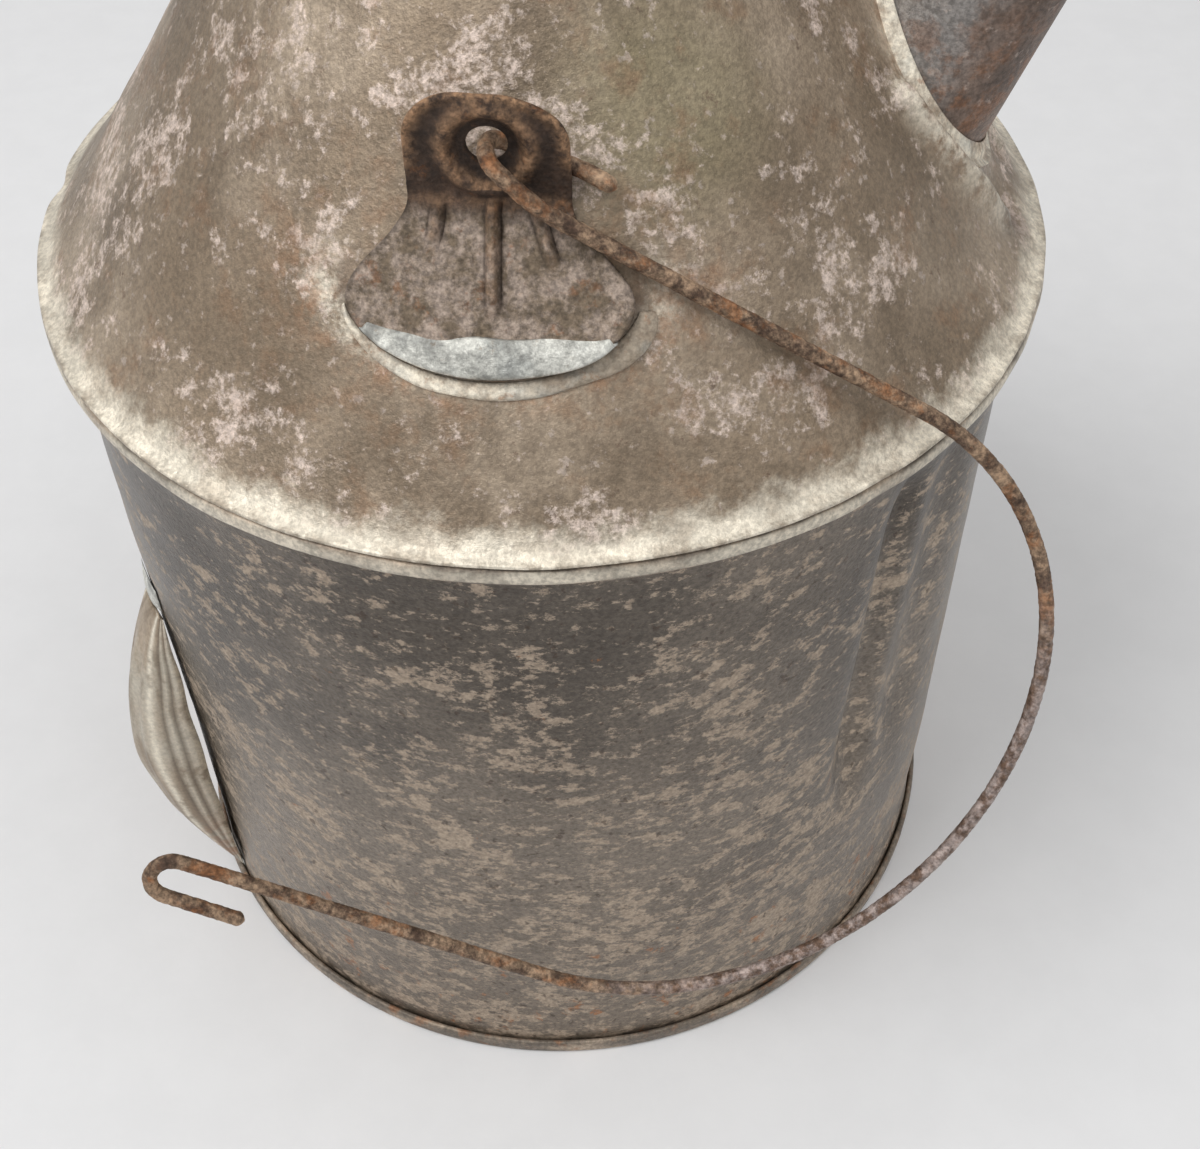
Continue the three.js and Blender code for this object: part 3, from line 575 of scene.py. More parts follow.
def spout_sheet(f):
    """Dark brown tarnished tube, blue-grey with old solder near its root, with pale rubbed spots and a painted
    highlight on its front side.
    """
    cloud = f.noise(0.022, 6, 0.68, (1, 1, 0.6))
    base = f.mix(f.between(cloud, 0.36, 0.64), shade("spout", 0.6), shade("spout", 1.9))
    height = f.height()
    y_place = f.add("ShaderNodeSeparateXYZ", {0: f.place}).outputs["Y"]
    x_place = f.add("ShaderNodeSeparateXYZ", {0: f.place}).outputs["X"]
    leeward = f.between(f.less(x_place, f.times(height, 0.445)), -0.0190, -0.0310)
    leeward = f.times(leeward, f.between(height, 0.300, 0.262))
    patch = f.times(leeward, f.drifts(0.36, 0.55, 0.011, 5, 0.65, shift=3))
    base = f.lay(base, (0.35, 0.355, 0.35, 1.0), patch, 0.8)
    flecks = f.drifts(0.60, 0.68, 0.0032, 3, 0.65, shift=7)
    base = f.lay(base, shade("cone_patch", 0.8), flecks, 0.5)
    rust = f.times(f.between(height, 0.262, 0.232), f.drifts(0.46, 0.62, 0.006, 5, 0.7, shift=4))
    base = f.lay(base, shade("rust", 0.75), rust, 0.7)
    # The side that faces the front gets a brighter copy of the spout colour: a painted highlight.
    front = f.times(f.between(y_place, 0.004, -0.012), 0.25)
    base = f.mix(front, base, shade("spout", 1.3))
    relief = f.noise(0.0025, 6, 0.7, shift=1)
    return f.done(f.grime(base, 0.3), 0.45, 0.45, relief, 0.0004)


def cork(f):
    """Cork: light brown with dark pores."""
    base = f.mix(f.noise(0.004, 5, 0.7), shade("cork", 0.6), shade("cork", 1.2))
    pores = f.between(f.cells(0.0022), 0.22, 0.12)
    base = f.lay(base, shade("rust_dark", 1.5), pores, 0.7)
    return f.done(f.grime(base, 0.2), 0.85, 0.0, f.noise(0.002, 4, 0.7), 0.0004)


def plain_floor(f):
    """Pale matte paper with a barely visible mottle."""
    mottle = f.noise(0.018, 5, 0.6)
    base = f.mix(f.between(mottle, 0.3, 0.7), shade("floor", 0.985), shade("floor", 1.01))
    return f.done(base, 0.9, 0.0, f.noise(0.003, 3, 0.6), 0.00005, 0.2)


# Body, rim and base


def body_knock(grid, a):
    """Moves the wall inwards: shallow waves everywhere and one long upright crease on the right-hand side."""
    z = grid[..., 2]
    side = turn_gap(a, -40 * RAD) * BODY_R
    lean = side - 0.06 * (z - 0.13)
    along = ease(z, 0.060, 0.100) * (1 - ease(z, 0.168, 0.188))
    crease = sizes().side_dent * (bump(lean, 6.5 * MM) + 0.6 * bump(lean - 17 * MM, 9 * MM)) * along
    free = ease(z, 0.0, 0.02) * (1 - ease(z, BODY_HIGH - 0.018, BODY_HIGH - 0.002))
    waves = (0.5 + 0.5 * ripple(grid, 0.075, 3)) * sizes().ripple * 1.5
    small = (0.5 + 0.5 * ripple(grid, 0.028, 4)) * sizes().ripple * 0.45
    inward = crease + (waves + small) * free
    out = grid.copy()
    out[..., 0] -= inward * np.cos(a)
    out[..., 1] -= inward * np.sin(a)
    return out


def rim_kink(grid, a):
    """A small knock in the rim on the left and slight waves all round."""
    hit = sizes().rim_kink * bump(turn_gap(a, 181 * RAD) * RIM_R, 5 * MM)
    waves = 0.12 * MM * (1 + np.sin(9 * a + 1) * np.sin(4 * a)) + 0.12 * MM * (1 + ripple(grid, 0.016, 8))
    outer = ease(np.hypot(grid[..., 0], grid[..., 1]), RIM_R - 6 * MM, RIM_R - 1 * MM)
    out = grid.copy()
    inward = (hit + waves) * outer
    out[..., 0] -= inward * np.cos(a)
    out[..., 1] -= inward * np.sin(a)
    return out


class OBJECT_OT_oil_can_body(bpy.types.Operator):
    """Adds the body wall: a double-skinned cylinder with waves and a creased dent"""

    bl_idname = "oil_can.body"
    bl_label = "Body"

    def execute(self, context):
        sheet = sizes().sheet
        outer = np.stack([np.full(150, BODY_R), np.linspace(BODY_LOW, BODY_HIGH, 150)], -1)
        inner = np.stack([np.full(40, BODY_R - sheet), np.linspace(BODY_HIGH, BODY_LOW, 40)], -1)
        grid = turned(np.vstack([outer, inner]), 500, body_knock)
        finish = finish_of(tarnished_body)
        add_loop("body_wall", grid, finish, "can", "tin", ("body_shell",))
        paint("base_plate", finish)
        return {"FINISHED"}


def paint(node, finish):
    """Gives a node of the solid model its finish."""
    piece = frame["nodes"][node]
    for place in piece.material_slots:
        place.material = finish


class OBJECT_OT_oil_can_rims(bpy.types.Operator):
    """Adds the folded rim, the crimp below it and the bead round the foot"""

    bl_idname = "oil_can.rims"
    bl_label = "Rim, crimp and foot bead"

    def execute(self, context):
        low, high = corners("rim_fold")
        fold = rounded_box(BODY_R + GAP, RIM_R, low[2], high[2], 3.4, 30)
        finish = finish_of(grimy_fold)
        add_loop("folded_rim", turned(fold, 420, rim_kink), finish, "can", "bright", ("rim_fold",))
        low, high = corners("rim_crimp")
        crimp = rounded_box(BODY_R - 0.2 * MM, high[0], low[2], high[2], 2.2, 20)
        add_loop("pressed_crimp", turned(crimp, 360, rim_kink), finish, "can", "tin", ("rim_crimp",))
        low, high = corners("base_bead")
        bead = rounded_box(BODY_R + 0.1 * MM, high[0], low[2], high[2], 3.2, 26)
        add_loop("foot_bead", turned(bead, 420), finish, "can", "bright", ("base_bead",))
        return {"FINISHED"}


# Shoulder


def fold_lines(grid):
    """How close points are to the crests of the two folds beside the spout's root, front and rear, as bell curves."""
    path = np.array([[72, -22.5], [78, -22], [85, -20], [91, -16.5], [97, -12]]) * MM
    knots = np.linspace(0, 4, 33)
    path = np.stack([np.interp(knots, np.arange(5), path[:, k]) for k in range(2)], -1)
    gaps = [np.linalg.norm(grid[..., None, :2] - path * (1, side), axis=-1).min(-1) for side in (1, -1)]
    return [bump(gap, 2.7 * MM) for gap in gaps]


def from_spout(points):
    """Distance of points from the spout's straight axis."""
    arm = points - SPOUT_SEAT
    return np.linalg.norm(arm - SPOUT_AXIS * (arm @ SPOUT_AXIS)[..., None], axis=-1)


def shoulder_marks(grid):
    """Where the shoulder is pale, rusty or darkened: pale and rusty round the ears' feet and the spout's collar, a
    painted highlight along the crests of the folds beside the spout, and painted shade at the lower edge of the ears'
    feet and in the hollow below the spout.
    """
    x, z = grid[..., 0], grid[..., 2]
    drop = CREASE_Z - z - 15.3 * MM
    ring = np.hypot(x / (24.8 * MM), drop / np.where(drop > 0, 8.8 * MM, 17 * MM)) - 1
    near, far = fold_lines(grid)
    lower = ease(drop, -9 * MM, 2 * MM)
    r = np.hypot(x, grid[..., 1])
    collar = bump(from_spout(grid) - 20.5 * MM, 3.5 * MM)
    # Pale: old solder remains round the ears' feet and wear round the spout's collar, and a painted highlight along
    # the crests of the folds beside the spout.
    pale = bump(ring - 0.17, 0.14) * lower * 0.8 + near + 0.6 * far + 0.7 * collar
    rusty = bump(ring - 0.30, 0.30) * lower * 0.7 + 0.5 * collar
    # Painted shade just outside the lower edge of the ears' feet and in the hollow below the spout.
    dirty = bump(ring - 0.03, 0.05) * lower * 0.8 + 0.9 * bump(
        np.hypot((x - 97 * MM) / 1.3, grid[..., 1] + 10.5 * MM), 5 * MM
    )
    keep = r < RIM_R - 4 * MM
    return {key: np.clip(value, 0, 1) * keep for key, value in (("pale", pale), ("rusty", rusty), ("dirty", dirty))}


def shoulder_waves(grid, a):
    """Lowers the cone by shallow waves, and raises a soft fold that runs from the spout's root to the rim."""
    r = np.hypot(grid[..., 0], grid[..., 1])
    free = ease(r, NECK_R + 4 * MM, NECK_R + 20 * MM) * (1 - ease(r, RIM_R - 14 * MM, RIM_R - 5 * MM))
    ear = np.hypot(grid[..., 0], np.abs(grid[..., 1]) - EAR_R - 8 * MM)
    free = free * ease(ear, 16 * MM, 42 * MM)
    down = (0.5 + 0.5 * ripple(grid, 0.06, 21)) * sizes().ripple * 2.2
    down = down + (0.5 + 0.5 * ripple(grid, 0.022, 22)) * sizes().ripple * 0.5
    near, far = fold_lines(grid)
    away = from_spout(grid)
    free = free * ease(away, 21 * MM, 36 * MM)
    hollow = bump(
        np.hypot(grid[..., 0] - 98 * MM, grid[..., 1] + 10 * MM), 8 * MM
    ) * 2.6 * MM * ease(away, 20.5 * MM, 27 * MM)
    push = (near + 0.6 * far) * sizes().spout_fold - hollow - down * free
    push = push * (1 - ease(r, RIM_R - 10 * MM, RIM_R - 5 * MM))
    out = grid.copy()
    out[..., 0] += push * np.cos(a) * SLOPE / LEAN
    out[..., 1] += push * np.sin(a) * SLOPE / LEAN
    out[..., 2] += push / LEAN
    return rim_kink(out, a)


class OBJECT_OT_oil_can_shoulder(bpy.types.Operator):
    """Adds the conical shoulder with its rounded flange"""

    bl_idname = "oil_can.shoulder"
    bl_label = "Shoulder"

    def execute(self, context):
        sheet = sizes().sheet
        top = corners("shoulder_cone")[1]
        edge = np.array(
            [[top[0] - 3.5 * MM, FLANGE_LOW], [top[0] - 0.4 * MM, FLANGE_LOW], [top[0], FLANGE_LOW + 0.35 * MM]]
        )
        r = np.concatenate([np.linspace(top[0] - 0.1 * MM, 0.092, 62), np.linspace(0.0912, NECK_R, 84)])
        z = np.minimum(cone_height(r), NECK_Z)
        outer = np.stack([r, z], -1)
        outer[0, 1] -= 0.12 * MM
        wall = sheet * LEAN / SLOPE
        r_in = np.linspace(NECK_R - wall, 0.1000, 24)
        inner = np.stack([r_in, cone_height(r_in + wall)], -1)
        inner[0, 1] = NECK_Z
        grid = turned(np.vstack([edge, outer, inner]), 520, shoulder_waves)
        finish = finish_of(tarnished_cone)
        add_loop("shoulder_sheet", grid, finish, "can", "tin", ("shoulder_cone",), shoulder_marks(grid))
        return {"FINISHED"}


def strip(start, end, half, tall, place, seed, steps=150):
    """Raised strip: rows run from start to end, each a loop over the top and back underneath. Its height across
    is 1 minus the sixth power of the sideways share, eased down at both ends, with small lumps."""
    v = np.linspace(start, end, steps)
    u = np.linspace(-1, 1, 17)
    across = np.concatenate([u, u[::-1]])
    top = np.concatenate([np.ones(17), np.zeros(17)])
    vv, uu = np.meshgrid(v, across, indexing="ij")
    length = abs(end - start)
    ends = ease(np.abs(vv - start), 0, 3 * MM) * ease(length - np.abs(vv - start), -1 * MM, 3 * MM)
    lump = 1 + 0.25 * ripple(np.stack([uu * half, vv, vv * 0], -1), 9 * MM, seed)
    lift = GAP * 0.2 + tall * (1 - np.abs(uu) ** 6) * ends * np.clip(lump, 0.4, 1.25) * 0.8 * top
    return place(uu * half * (1 + 0.05 * np.sin(vv * 160)), vv, lift)


class OBJECT_OT_oil_can_seams(bpy.types.Operator):
    """Adds the soldered lap seams of the body and of the shoulder"""

    bl_idname = "oil_can.seams"
    bl_label = "Lap seams"

    def execute(self, context):
        finish = finish_of(grey_solder)
        low, high = corners("body_side_seam")

        def on_body(x, z, lift):
            a = SEAM_AZ + x / BODY_R
            return np.stack([(BODY_R + lift) * np.cos(a), (BODY_R + lift) * np.sin(a), z], -1)

        add_tube(
            "body_lap_seam",
            strip(low[2], high[2], 3.4 * MM, 0.8 * MM, on_body, 31),
            finish,
            "can",
            "solder",
            ("body_side_seam",),
        )
        low, high = corners("shoulder_seam")

        def on_cone(x, z, lift):
            return spin(cone_point(x, z, lift), SHOULDER_SEAM_AZ + np.pi / 2)

        seam = strip(low[2], high[2], 3.4 * MM, 0.9 * MM, on_cone, 32)
        add_tube("shoulder_lap_seam", seam, finish_of(tarnished_cone), "can", "solder", ("shoulder_seam",))
        return {"FINISHED"}


# Neck and cap


class OBJECT_OT_oil_can_neck(bpy.types.Operator):
    """Adds the filler neck, its rolled lip and the solder round its foot"""

    bl_idname = "oil_can.neck"
    bl_label = "Filler neck"

    def execute(self, context):
        low, high = corners("neck_collar")
        wall = rounded_box(high[0] - sizes().sheet, high[0], low[2], high[2], 9.0, 40)
        cone = finish_of(tarnished_cone)
        add_loop("neck_wall", turned(wall, 160), cone, "can", "tin", ("neck_collar",))
        low, high = corners("neck_bead")
        lip = rounded_box(high[0] - 3.2 * MM, high[0], low[2], high[2], 2.0, 24)
        edge = finish_of(rubbed_edge)
        add_loop("neck_lip", turned(lip, 160), edge, "can", "bright", ("neck_bead",))
        low, high = corners("neck_solder")

        def lumps(grid, a):
            swell = 1 + 0.22 * ripple(grid, 7 * MM, 41)
            out = grid.copy()
            r = np.hypot(grid[..., 0], grid[..., 1])
            grown = NECK_R + (r - NECK_R) * np.clip(swell, 0.6, 1.0)
            out[..., :2] *= (grown / r)[..., None]
            out[..., 2] = low[2] + (grid[..., 2] - low[2]) * np.clip(swell, 0.6, 1.0)
            return out

        t = np.linspace(0, np.pi / 2, 12)
        width, tall = high[0] - NECK_R, high[2] - low[2]
        hollow = np.stack(
            [NECK_R + 0.1 * MM + (width - 0.1 * MM) * (1 - np.sin(t)) ** 1.3, low[2] + tall * (1 - np.cos(t)) ** 1.3],
            -1,
        )
        profile = np.vstack([[[NECK_R + 0.1 * MM, low[2]]], hollow])
        add_loop(
            "neck_solder_ring",
            turned(profile, 200, lumps),
            finish_of(grey_solder),
            "can",
            "solder",
            ("neck_solder",),
        )
        return {"FINISHED"}


class OBJECT_OT_oil_can_cap(bpy.types.Operator):
    """Adds the slip-on cap with its pressed top, rolled edge and turned knob"""

    bl_idname = "oil_can.cap"
    bl_label = "Cap"

    def execute(self, context):
        low, high = corners("filler_cap")
        sheet = sizes().sheet
        top, under = high[2], high[2] - sheet
        out_r, in_r = high[0], high[0] - sheet
        r = np.linspace(0, out_r - 1.8 * MM, 70)
        press = 0.55 * MM * (
            bump(r - 0.72 * out_r, 1.6 * MM) + bump(r - 0.45 * out_r, 1.4 * MM)
        ) + 0.25 * MM * (r / out_r) ** 2
        crown = np.stack([r, top - press], -1)
        t = np.linspace(0, np.pi / 2, 10)[1:]
        corner = np.stack(
            [out_r - 1.8 * MM + 1.8 * MM * np.sin(t), crown[-1, 1] - 1.8 * MM + 1.8 * MM * np.cos(t)], -1
        )
        skirt = np.stack([np.full(30, out_r), np.linspace(corner[-1, 1], low[2], 32)[1:-1]], -1)
        inside = np.array(
            [
                [out_r, low[2]],
                [in_r, low[2]],
                [in_r, under - 3 * MM],
                [in_r, under - 1 * MM],
                [in_r - 1.2 * MM, under - 0.3 * MM],
                [0.6 * in_r, under - 0.9 * MM],
                [0, under - 0.5 * MM],
            ]
        )
        cap = finish_of(rubbed_edge)
        grid = turned(np.vstack([crown, corner, skirt, inside]), 180)
        points = grid.reshape(-1, 3)
        faces = outward(points, grid_faces(180, grid.shape[1], True, False))
        add_piece("cap_shell", points, faces, cap, "cap", "bright", ("filler_cap",))
        low, high = corners("cap_edge_bead")
        roll = rounded_box(out_r + 0.1 * MM, high[0], low[2], high[2], 2.0, 20)
        add_loop("cap_rolled_edge", turned(roll, 160), cap, "cap", "bright", ("cap_edge_bead",))
        low, high = corners("cap_knob")
        tall, wide = high[2] - low[2], high[0]
        knots = [
            (0, 0),
            (0.82, 0),
            (0.78, 0.08),
            (0.5, 0.3),
            (0.55, 0.46),
            (0.96, 0.66),
            (1.0, 0.76),
            (0.85, 0.93),
            (0.4, 0.995),
            (0, 1),
        ]
        line = soften(even_steps(np.array(knots) * (wide, tall), 60), 4)
        line[:, 1] += low[2] - 0.25 * MM
        grid = turned(line, 72)
        points = grid.reshape(-1, 3)
        faces = outward(points, grid_faces(72, grid.shape[1], True, False))
        add_piece("cap_knob_turned", points, faces, cap, "cap", "bright", ("cap_knob",))
        paint("cap_cork_disc", finish_of(cork))
        return {"FINISHED"}


# Spout


def spout_point(t, s, extra=0.0):
    """Point of the spout's surface at angle t round its axis and distance s up it: a straight cone from the root
    radius to the tip radius, stood on the seat and leaned outwards."""
    r = SPOUT_ROOT_R + (SPOUT_TIP_R - SPOUT_ROOT_R) * s / SPOUT_LONG + extra
    side = np.array([SPOUT_AXIS[2], 0.0, -SPOUT_AXIS[0]])
    x, y = (r * np.cos(t))[..., None], (r * np.sin(t))[..., None]
    return SPOUT_SEAT + side * x + np.array([0.0, 1.0, 0.0]) * y + SPOUT_AXIS * np.asarray(s)[..., None]


def spout_seat_line(t, lift):
    """Distance up the spout's wall at which it meets the shoulder raised by `lift`, found by halving."""
    low, high = np.full(t.shape, -45 * MM), np.full(t.shape, 60 * MM)
    for _ in range(40):
        middle = (low + high) / 2
        p = spout_point(t, middle)
        under = (p[..., 2] - RIM_Z) + SLOPE * (np.hypot(p[..., 0], p[..., 1]) - SHOULDER_R) < lift * LEAN
        low, high = np.where(under, middle, low), np.where(under, high, middle)
    return high


class OBJECT_OT_oil_can_spout(bpy.types.Operator):
    """Adds the tapered spout, its rolled tip and the solder at its root"""

    bl_idname = "oil_can.spout"
    bl_label = "Spout"

    def execute(self, context):
        sheet = sizes().sheet
        around, up = 200, 170
        t = np.linspace(0, 2 * np.pi, around, endpoint=False)
        start = spout_seat_line(t, 0.35 * MM)
        share = np.linspace(0, 1, up)
        s = start[:, None] + (SPOUT_LONG - start[:, None]) * share
        tt = np.broadcast_to(t[:, None], s.shape)
        rough_place = spout_point(tt, s)
        lap = 0.5 * MM * ease(turn_gap(tt, 150 * RAD), -0.16, -0.12) * (1 - ease(turn_gap(tt, 150 * RAD), 0.10, 0.26))
        dip = 0.35 * MM * (1 + ripple(rough_place, 0.03, 51)) * ease(s, 20 * MM, 50 * MM) * 0.6
        skin = spout_point(tt, s, lap * 0.6 - dip * 0.5 - 0.15 * MM)
        lining = spout_point(tt, s, -sheet - 0.15 * MM - dip * 0.5)[:, ::-1][:, ::4]
        spout = finish_of(spout_sheet)
        add_loop("spout_wall", np.concatenate([skin, lining], 1), spout, "can", "spout_iron", ("spout_tube",))
        q = np.linspace(0, 2 * np.pi, 22, endpoint=False)
        tt, qq = np.meshgrid(t[::2], q, indexing="ij")
        s = SPOUT_LONG + GAP * 0.2 + 1.3 * MM * (1 + np.sin(qq))
        tip = spout_point(tt, s, 0.0)
        radius = SPOUT_TIP_R - 0.4 * MM + 1.3 * MM * np.cos(qq)
        tip = spout_point(tt, s, radius - (SPOUT_ROOT_R + (SPOUT_TIP_R - SPOUT_ROOT_R) * s / SPOUT_LONG))
        add_loop("spout_lip", tip, spout, "can", "spout_iron", ("spout_tip_bead",))
        self.root_solder(t)
        return {"FINISHED"}

    def root_solder(self, t):
        """A rough collar: for each angle a hollow-faced wedge from the sheet, a little way out, up to the wall."""
        q = np.linspace(0, 1, 14)
        tt, qq = np.meshgrid(t, q, indexing="ij")
        wide = (3.2 + 0.9 * ripple(spout_point(tt, tt * 0), 0.014, 61)) * MM
        wide = np.clip(wide, 1.8 * MM, 4.0 * MM)
        foot = spout_seat_line(tt, 0.0)
        out = wide * (1 - qq) ** 1.25
        skin = spout_point(tt, foot, 0.0)
        reach = spout_point(tt, foot, out) - skin
        p = skin + reach
        drop = (p[..., 2] - RIM_Z) + SLOPE * (np.hypot(p[..., 0], p[..., 1]) - SHOULDER_R)
        p = p - drop[..., None] / LEAN * self.cone_normal(p)
        climb = 2.6 * MM * qq**1.5
        p = p + SPOUT_AXIS * climb[..., None] + self.cone_normal(p) * (
            0.35 * MM + 0.3 * MM * (1 + ripple(p, 0.006, 62))
        )[..., None] * (qq * (1 - qq) * 4)[..., None]
        under = spout_point(tt, foot + 0.3 * MM, -0.2 * MM)[:, ::-1][:, :1]
        base = (skin + reach)[:, :1] - self.cone_normal(skin[:, :1]) * 0.3 * MM
        grid = np.concatenate([p, under, base], 1)
        add_loop("spout_solder_collar", grid, finish_of(pale_scar), "can", "solder", ("spout_root_solder",))

    @staticmethod
    def cone_normal(p):
        r = np.hypot(p[..., 0], p[..., 1])
        return np.stack([p[..., 0] / r * SLOPE, p[..., 1] / r * SLOPE, np.ones_like(r)], -1) / LEAN


# Ears

EAR_HALF = 13.8 * MM
EAR_TOP = 9.9 * MM
FOOT_HALF = 24.8 * MM
FOOT_DROP = 15.3 * MM
FOOT_BOW = 8.8 * MM
HOLE_R = 3.4 * MM
SLANT = SLOPE / LEAN
EYE_UP = EYE[2] - CREASE_Z
SPLIT = 3.0 * MM
# Each pleat: sideways place at its top and foot, distance of its top and foot below the crease, height (mm)
PLEATS = ((-8.6, -9.8, 1.2, 9.0, 1.1), (0.6, 0.9, 0.2, 19.5, 1.5), (7.6, 11.2, 0.8, 11.5, 1.1))


def foot_edge(x):
    """How far below the crease the foot's bowed lower edge lies at x: straight drop plus half an ellipse."""
    return FOOT_DROP + FOOT_BOW * np.sqrt(np.maximum(0, 1 - (x / FOOT_HALF) ** 2))


def ear_half_width(s):
    """Half width of the ear at distance s along its sheet from the crease, minus on the foot: a rounded-square top,
    straight sides, a flare that eases out to the widest place and half an ellipse below it."""
    up = np.clip((s - EYE_UP) / EAR_TOP, 0, 1)
    plate = EAR_HALF * (1 - up**2.5) ** 0.375
    drop = np.maximum(-s, 0) * SLANT
    flare = FOOT_HALF - (FOOT_HALF - EAR_HALF) * ease(1 - drop / FOOT_DROP, 0, 1)
    bow = FOOT_HALF * np.sqrt(np.clip(1 - ((drop - FOOT_DROP) / FOOT_BOW) ** 2, 0, 1))
    return np.where(s >= 0, plate, np.where(drop <= FOOT_DROP, flare, bow))


def ear_sheet(x, s, roll=0.0):
    """Middle surface of the ear at sideways place x and distance s from the crease: an upright plane above, the
    shoulder's curve below, whichever stands further out, with pleats, a raised ring round the eye, a slightly lifted
    right-hand edge and `roll` added to its front."""
    drop = np.maximum(-s, 0) * SLANT
    z = np.where(s >= 0, CREASE_Z + s, CREASE_Z - drop)
    lift = 0.95 * MM
    r = SHOULDER_R - (z - RIM_Z) / SLOPE + lift * LEAN / SLOPE
    on_cone = np.sqrt(np.maximum(r * r - x * x, 1e-9))
    soft = 0.45 * MM
    away = soft * np.logaddexp(EAR_R / soft, on_cone / soft)
    foot = ease(-s, 0.5 * MM, 4 * MM)
    swell = pleats(x, s)[0]
    swell = swell + 0.35 * MM * foot * ripple(
        np.stack([x, s, s * 0], -1), 9 * MM, 71
    ) * ease(foot_edge(x) - drop, 1 * MM, 6 * MM)
    swell += 1.5 * MM * ease(x, 6 * MM, 22 * MM) * ease(drop, 12 * MM, 22 * MM)
    around = np.hypot(x, s - EYE_UP)
    dish = 1.5 * MM * bump(around - 7.4 * MM, 1.5 * MM) - 0.5 * MM * bump(around - 4.4 * MM, 1.6 * MM)
    dish = dish + 0.35 * MM * ripple(np.stack([x, s, s * 0], -1), 12 * MM, 72) * (s > 0)
    tilt = np.stack([x / on_cone * foot * SLANT, -1 + (1 - SLANT) * foot, foot / LEAN], -1)
    point = np.stack([x, -away, z], -1)
    return point + tilt * (swell + dish * (1 - foot) + roll)[..., None]


def pleats(x, s):
    """Height of the three pleats that run down from the crease, and how much painted shade a point gets in their
    hollows.
    """
    tall, dark = np.zeros_like(x), np.zeros_like(x)
    for top_x, low_x, top_s, low_s, high in PLEATS:
        share = np.clip((-s / MM - top_s) / (low_s - top_s), 0, 1)
        line = (top_x + (low_x - top_x) * share) * MM
        fade = ease(-s / MM, top_s - 1.6, top_s + 0.8) * (1 - ease(-s / MM, low_s - 3.5, low_s + 0.5))
        tall += high * MM * fade * (bump(x - line, 0.6 * MM) - 0.7 * bump(x - line - 1.5 * MM, 0.8 * MM))
        dark += fade * (bump(x - line - 1.25 * MM, 0.8 * MM) + 0.8 * bump(x - line + 1.0 * MM, 0.5 * MM))
    return tall, dark


def ear_surface():
    """Points, faces and marks of the ear's middle surface: rows across from the foot's tip up to a line below the eye,
    then rings from that line and the plate's outline in to the eye's hole."""
    columns, rows, rings = 91, 70, 17
    u = np.linspace(-1, 1, columns)
    lowest = -(FOOT_DROP + FOOT_BOW) / SLANT
    s = lowest + (SPLIT - lowest) * (0.5 - 0.5 * np.cos(np.pi * (0.02 + 0.98 * np.linspace(0, 1, rows)) ** 0.85))
    s[0], s[-1] = lowest, SPLIT
    ss, uu = np.meshgrid(s, u, indexing="ij")
    xx = uu * ear_half_width(ss)
    lower = ear_sheet(xx, ss)
    crest, dark = pleats(xx, ss)
    # Painted shade along the foot's side edges.
    dark = dark + 0.6 * bump((1 - np.abs(uu)) * ear_half_width(ss), 0.8 * MM) * (ss < SPLIT - 1 * MM)
    # Painted highlight on the pleat crests and along the crease.
    crest_highlight = np.clip(crest / MM, 0, 1) * 0.35 + bump(ss, 1.2 * MM) * 0.3
    lower_faces = grid_faces(rows, columns, False, False)
    side_s = SPLIT + (EYE_UP - SPLIT) * np.linspace(0, 1, 8)[1:]
    a = np.linspace(0, np.pi, 60)[1:-1]
    top_x = EAR_HALF * np.sign(np.cos(a)) * np.abs(np.cos(a)) ** 0.75
    top_s = EYE_UP + EAR_TOP * np.sin(a) ** 0.8 * (1 - 0.17 * ease(top_x, 1 * MM, 13 * MM))
    outline_x = np.concatenate([u * EAR_HALF, np.full(7, EAR_HALF), top_x, np.full(7, -EAR_HALF)])
    outline_s = np.concatenate([np.full(columns, SPLIT), side_s, top_s, side_s[::-1]])
    angle = np.arctan2(outline_s - EYE_UP, outline_x)
    q = np.linspace(0, 1, rings) ** 0.9
    qq = q[:, None]
    ring_x = (1 - qq) * outline_x + qq * HOLE_R * np.cos(angle)
    ring_s = (1 - qq) * outline_s + qq * (EYE_UP + HOLE_R * np.sin(angle))
    rim = bump(np.hypot(ring_x - outline_x, ring_s - outline_s), 1.7 * MM) * ease(outline_s, SPLIT, EYE_UP)
    upper = ear_sheet(ring_x, ring_s, 0.7 * MM * rim)
    around = np.hypot(ring_x, ring_s - EYE_UP)
    # Painted highlight on the plate's rolled rim and on the raised ring round the eye.
    ridge = np.concatenate([crest_highlight.ravel(), np.clip(rim + 0.75 * bump(around - 7.2 * MM, 1.1 * MM), 0, 1).ravel()])
    # Painted shade inside the raised ring round the eye and just outside it.
    hollow = np.concatenate(
        [
            dark.ravel(),
            (0.8 * bump(around - 5.0 * MM, 1.2 * MM) + 0.7 * bump(around - 10.2 * MM, 1.5 * MM) * (1 - rim)).ravel(),
        ]
    )
    upper_faces = grid_faces(rings, outline_x.size, False, True, lower.shape[0] * lower.shape[1])
    points = np.vstack([lower.reshape(-1, 3), upper.reshape(-1, 3)])
    return points, np.vstack([lower_faces, upper_faces]), {"ridge": ridge, "hollow": np.clip(hollow, 0, 1)}


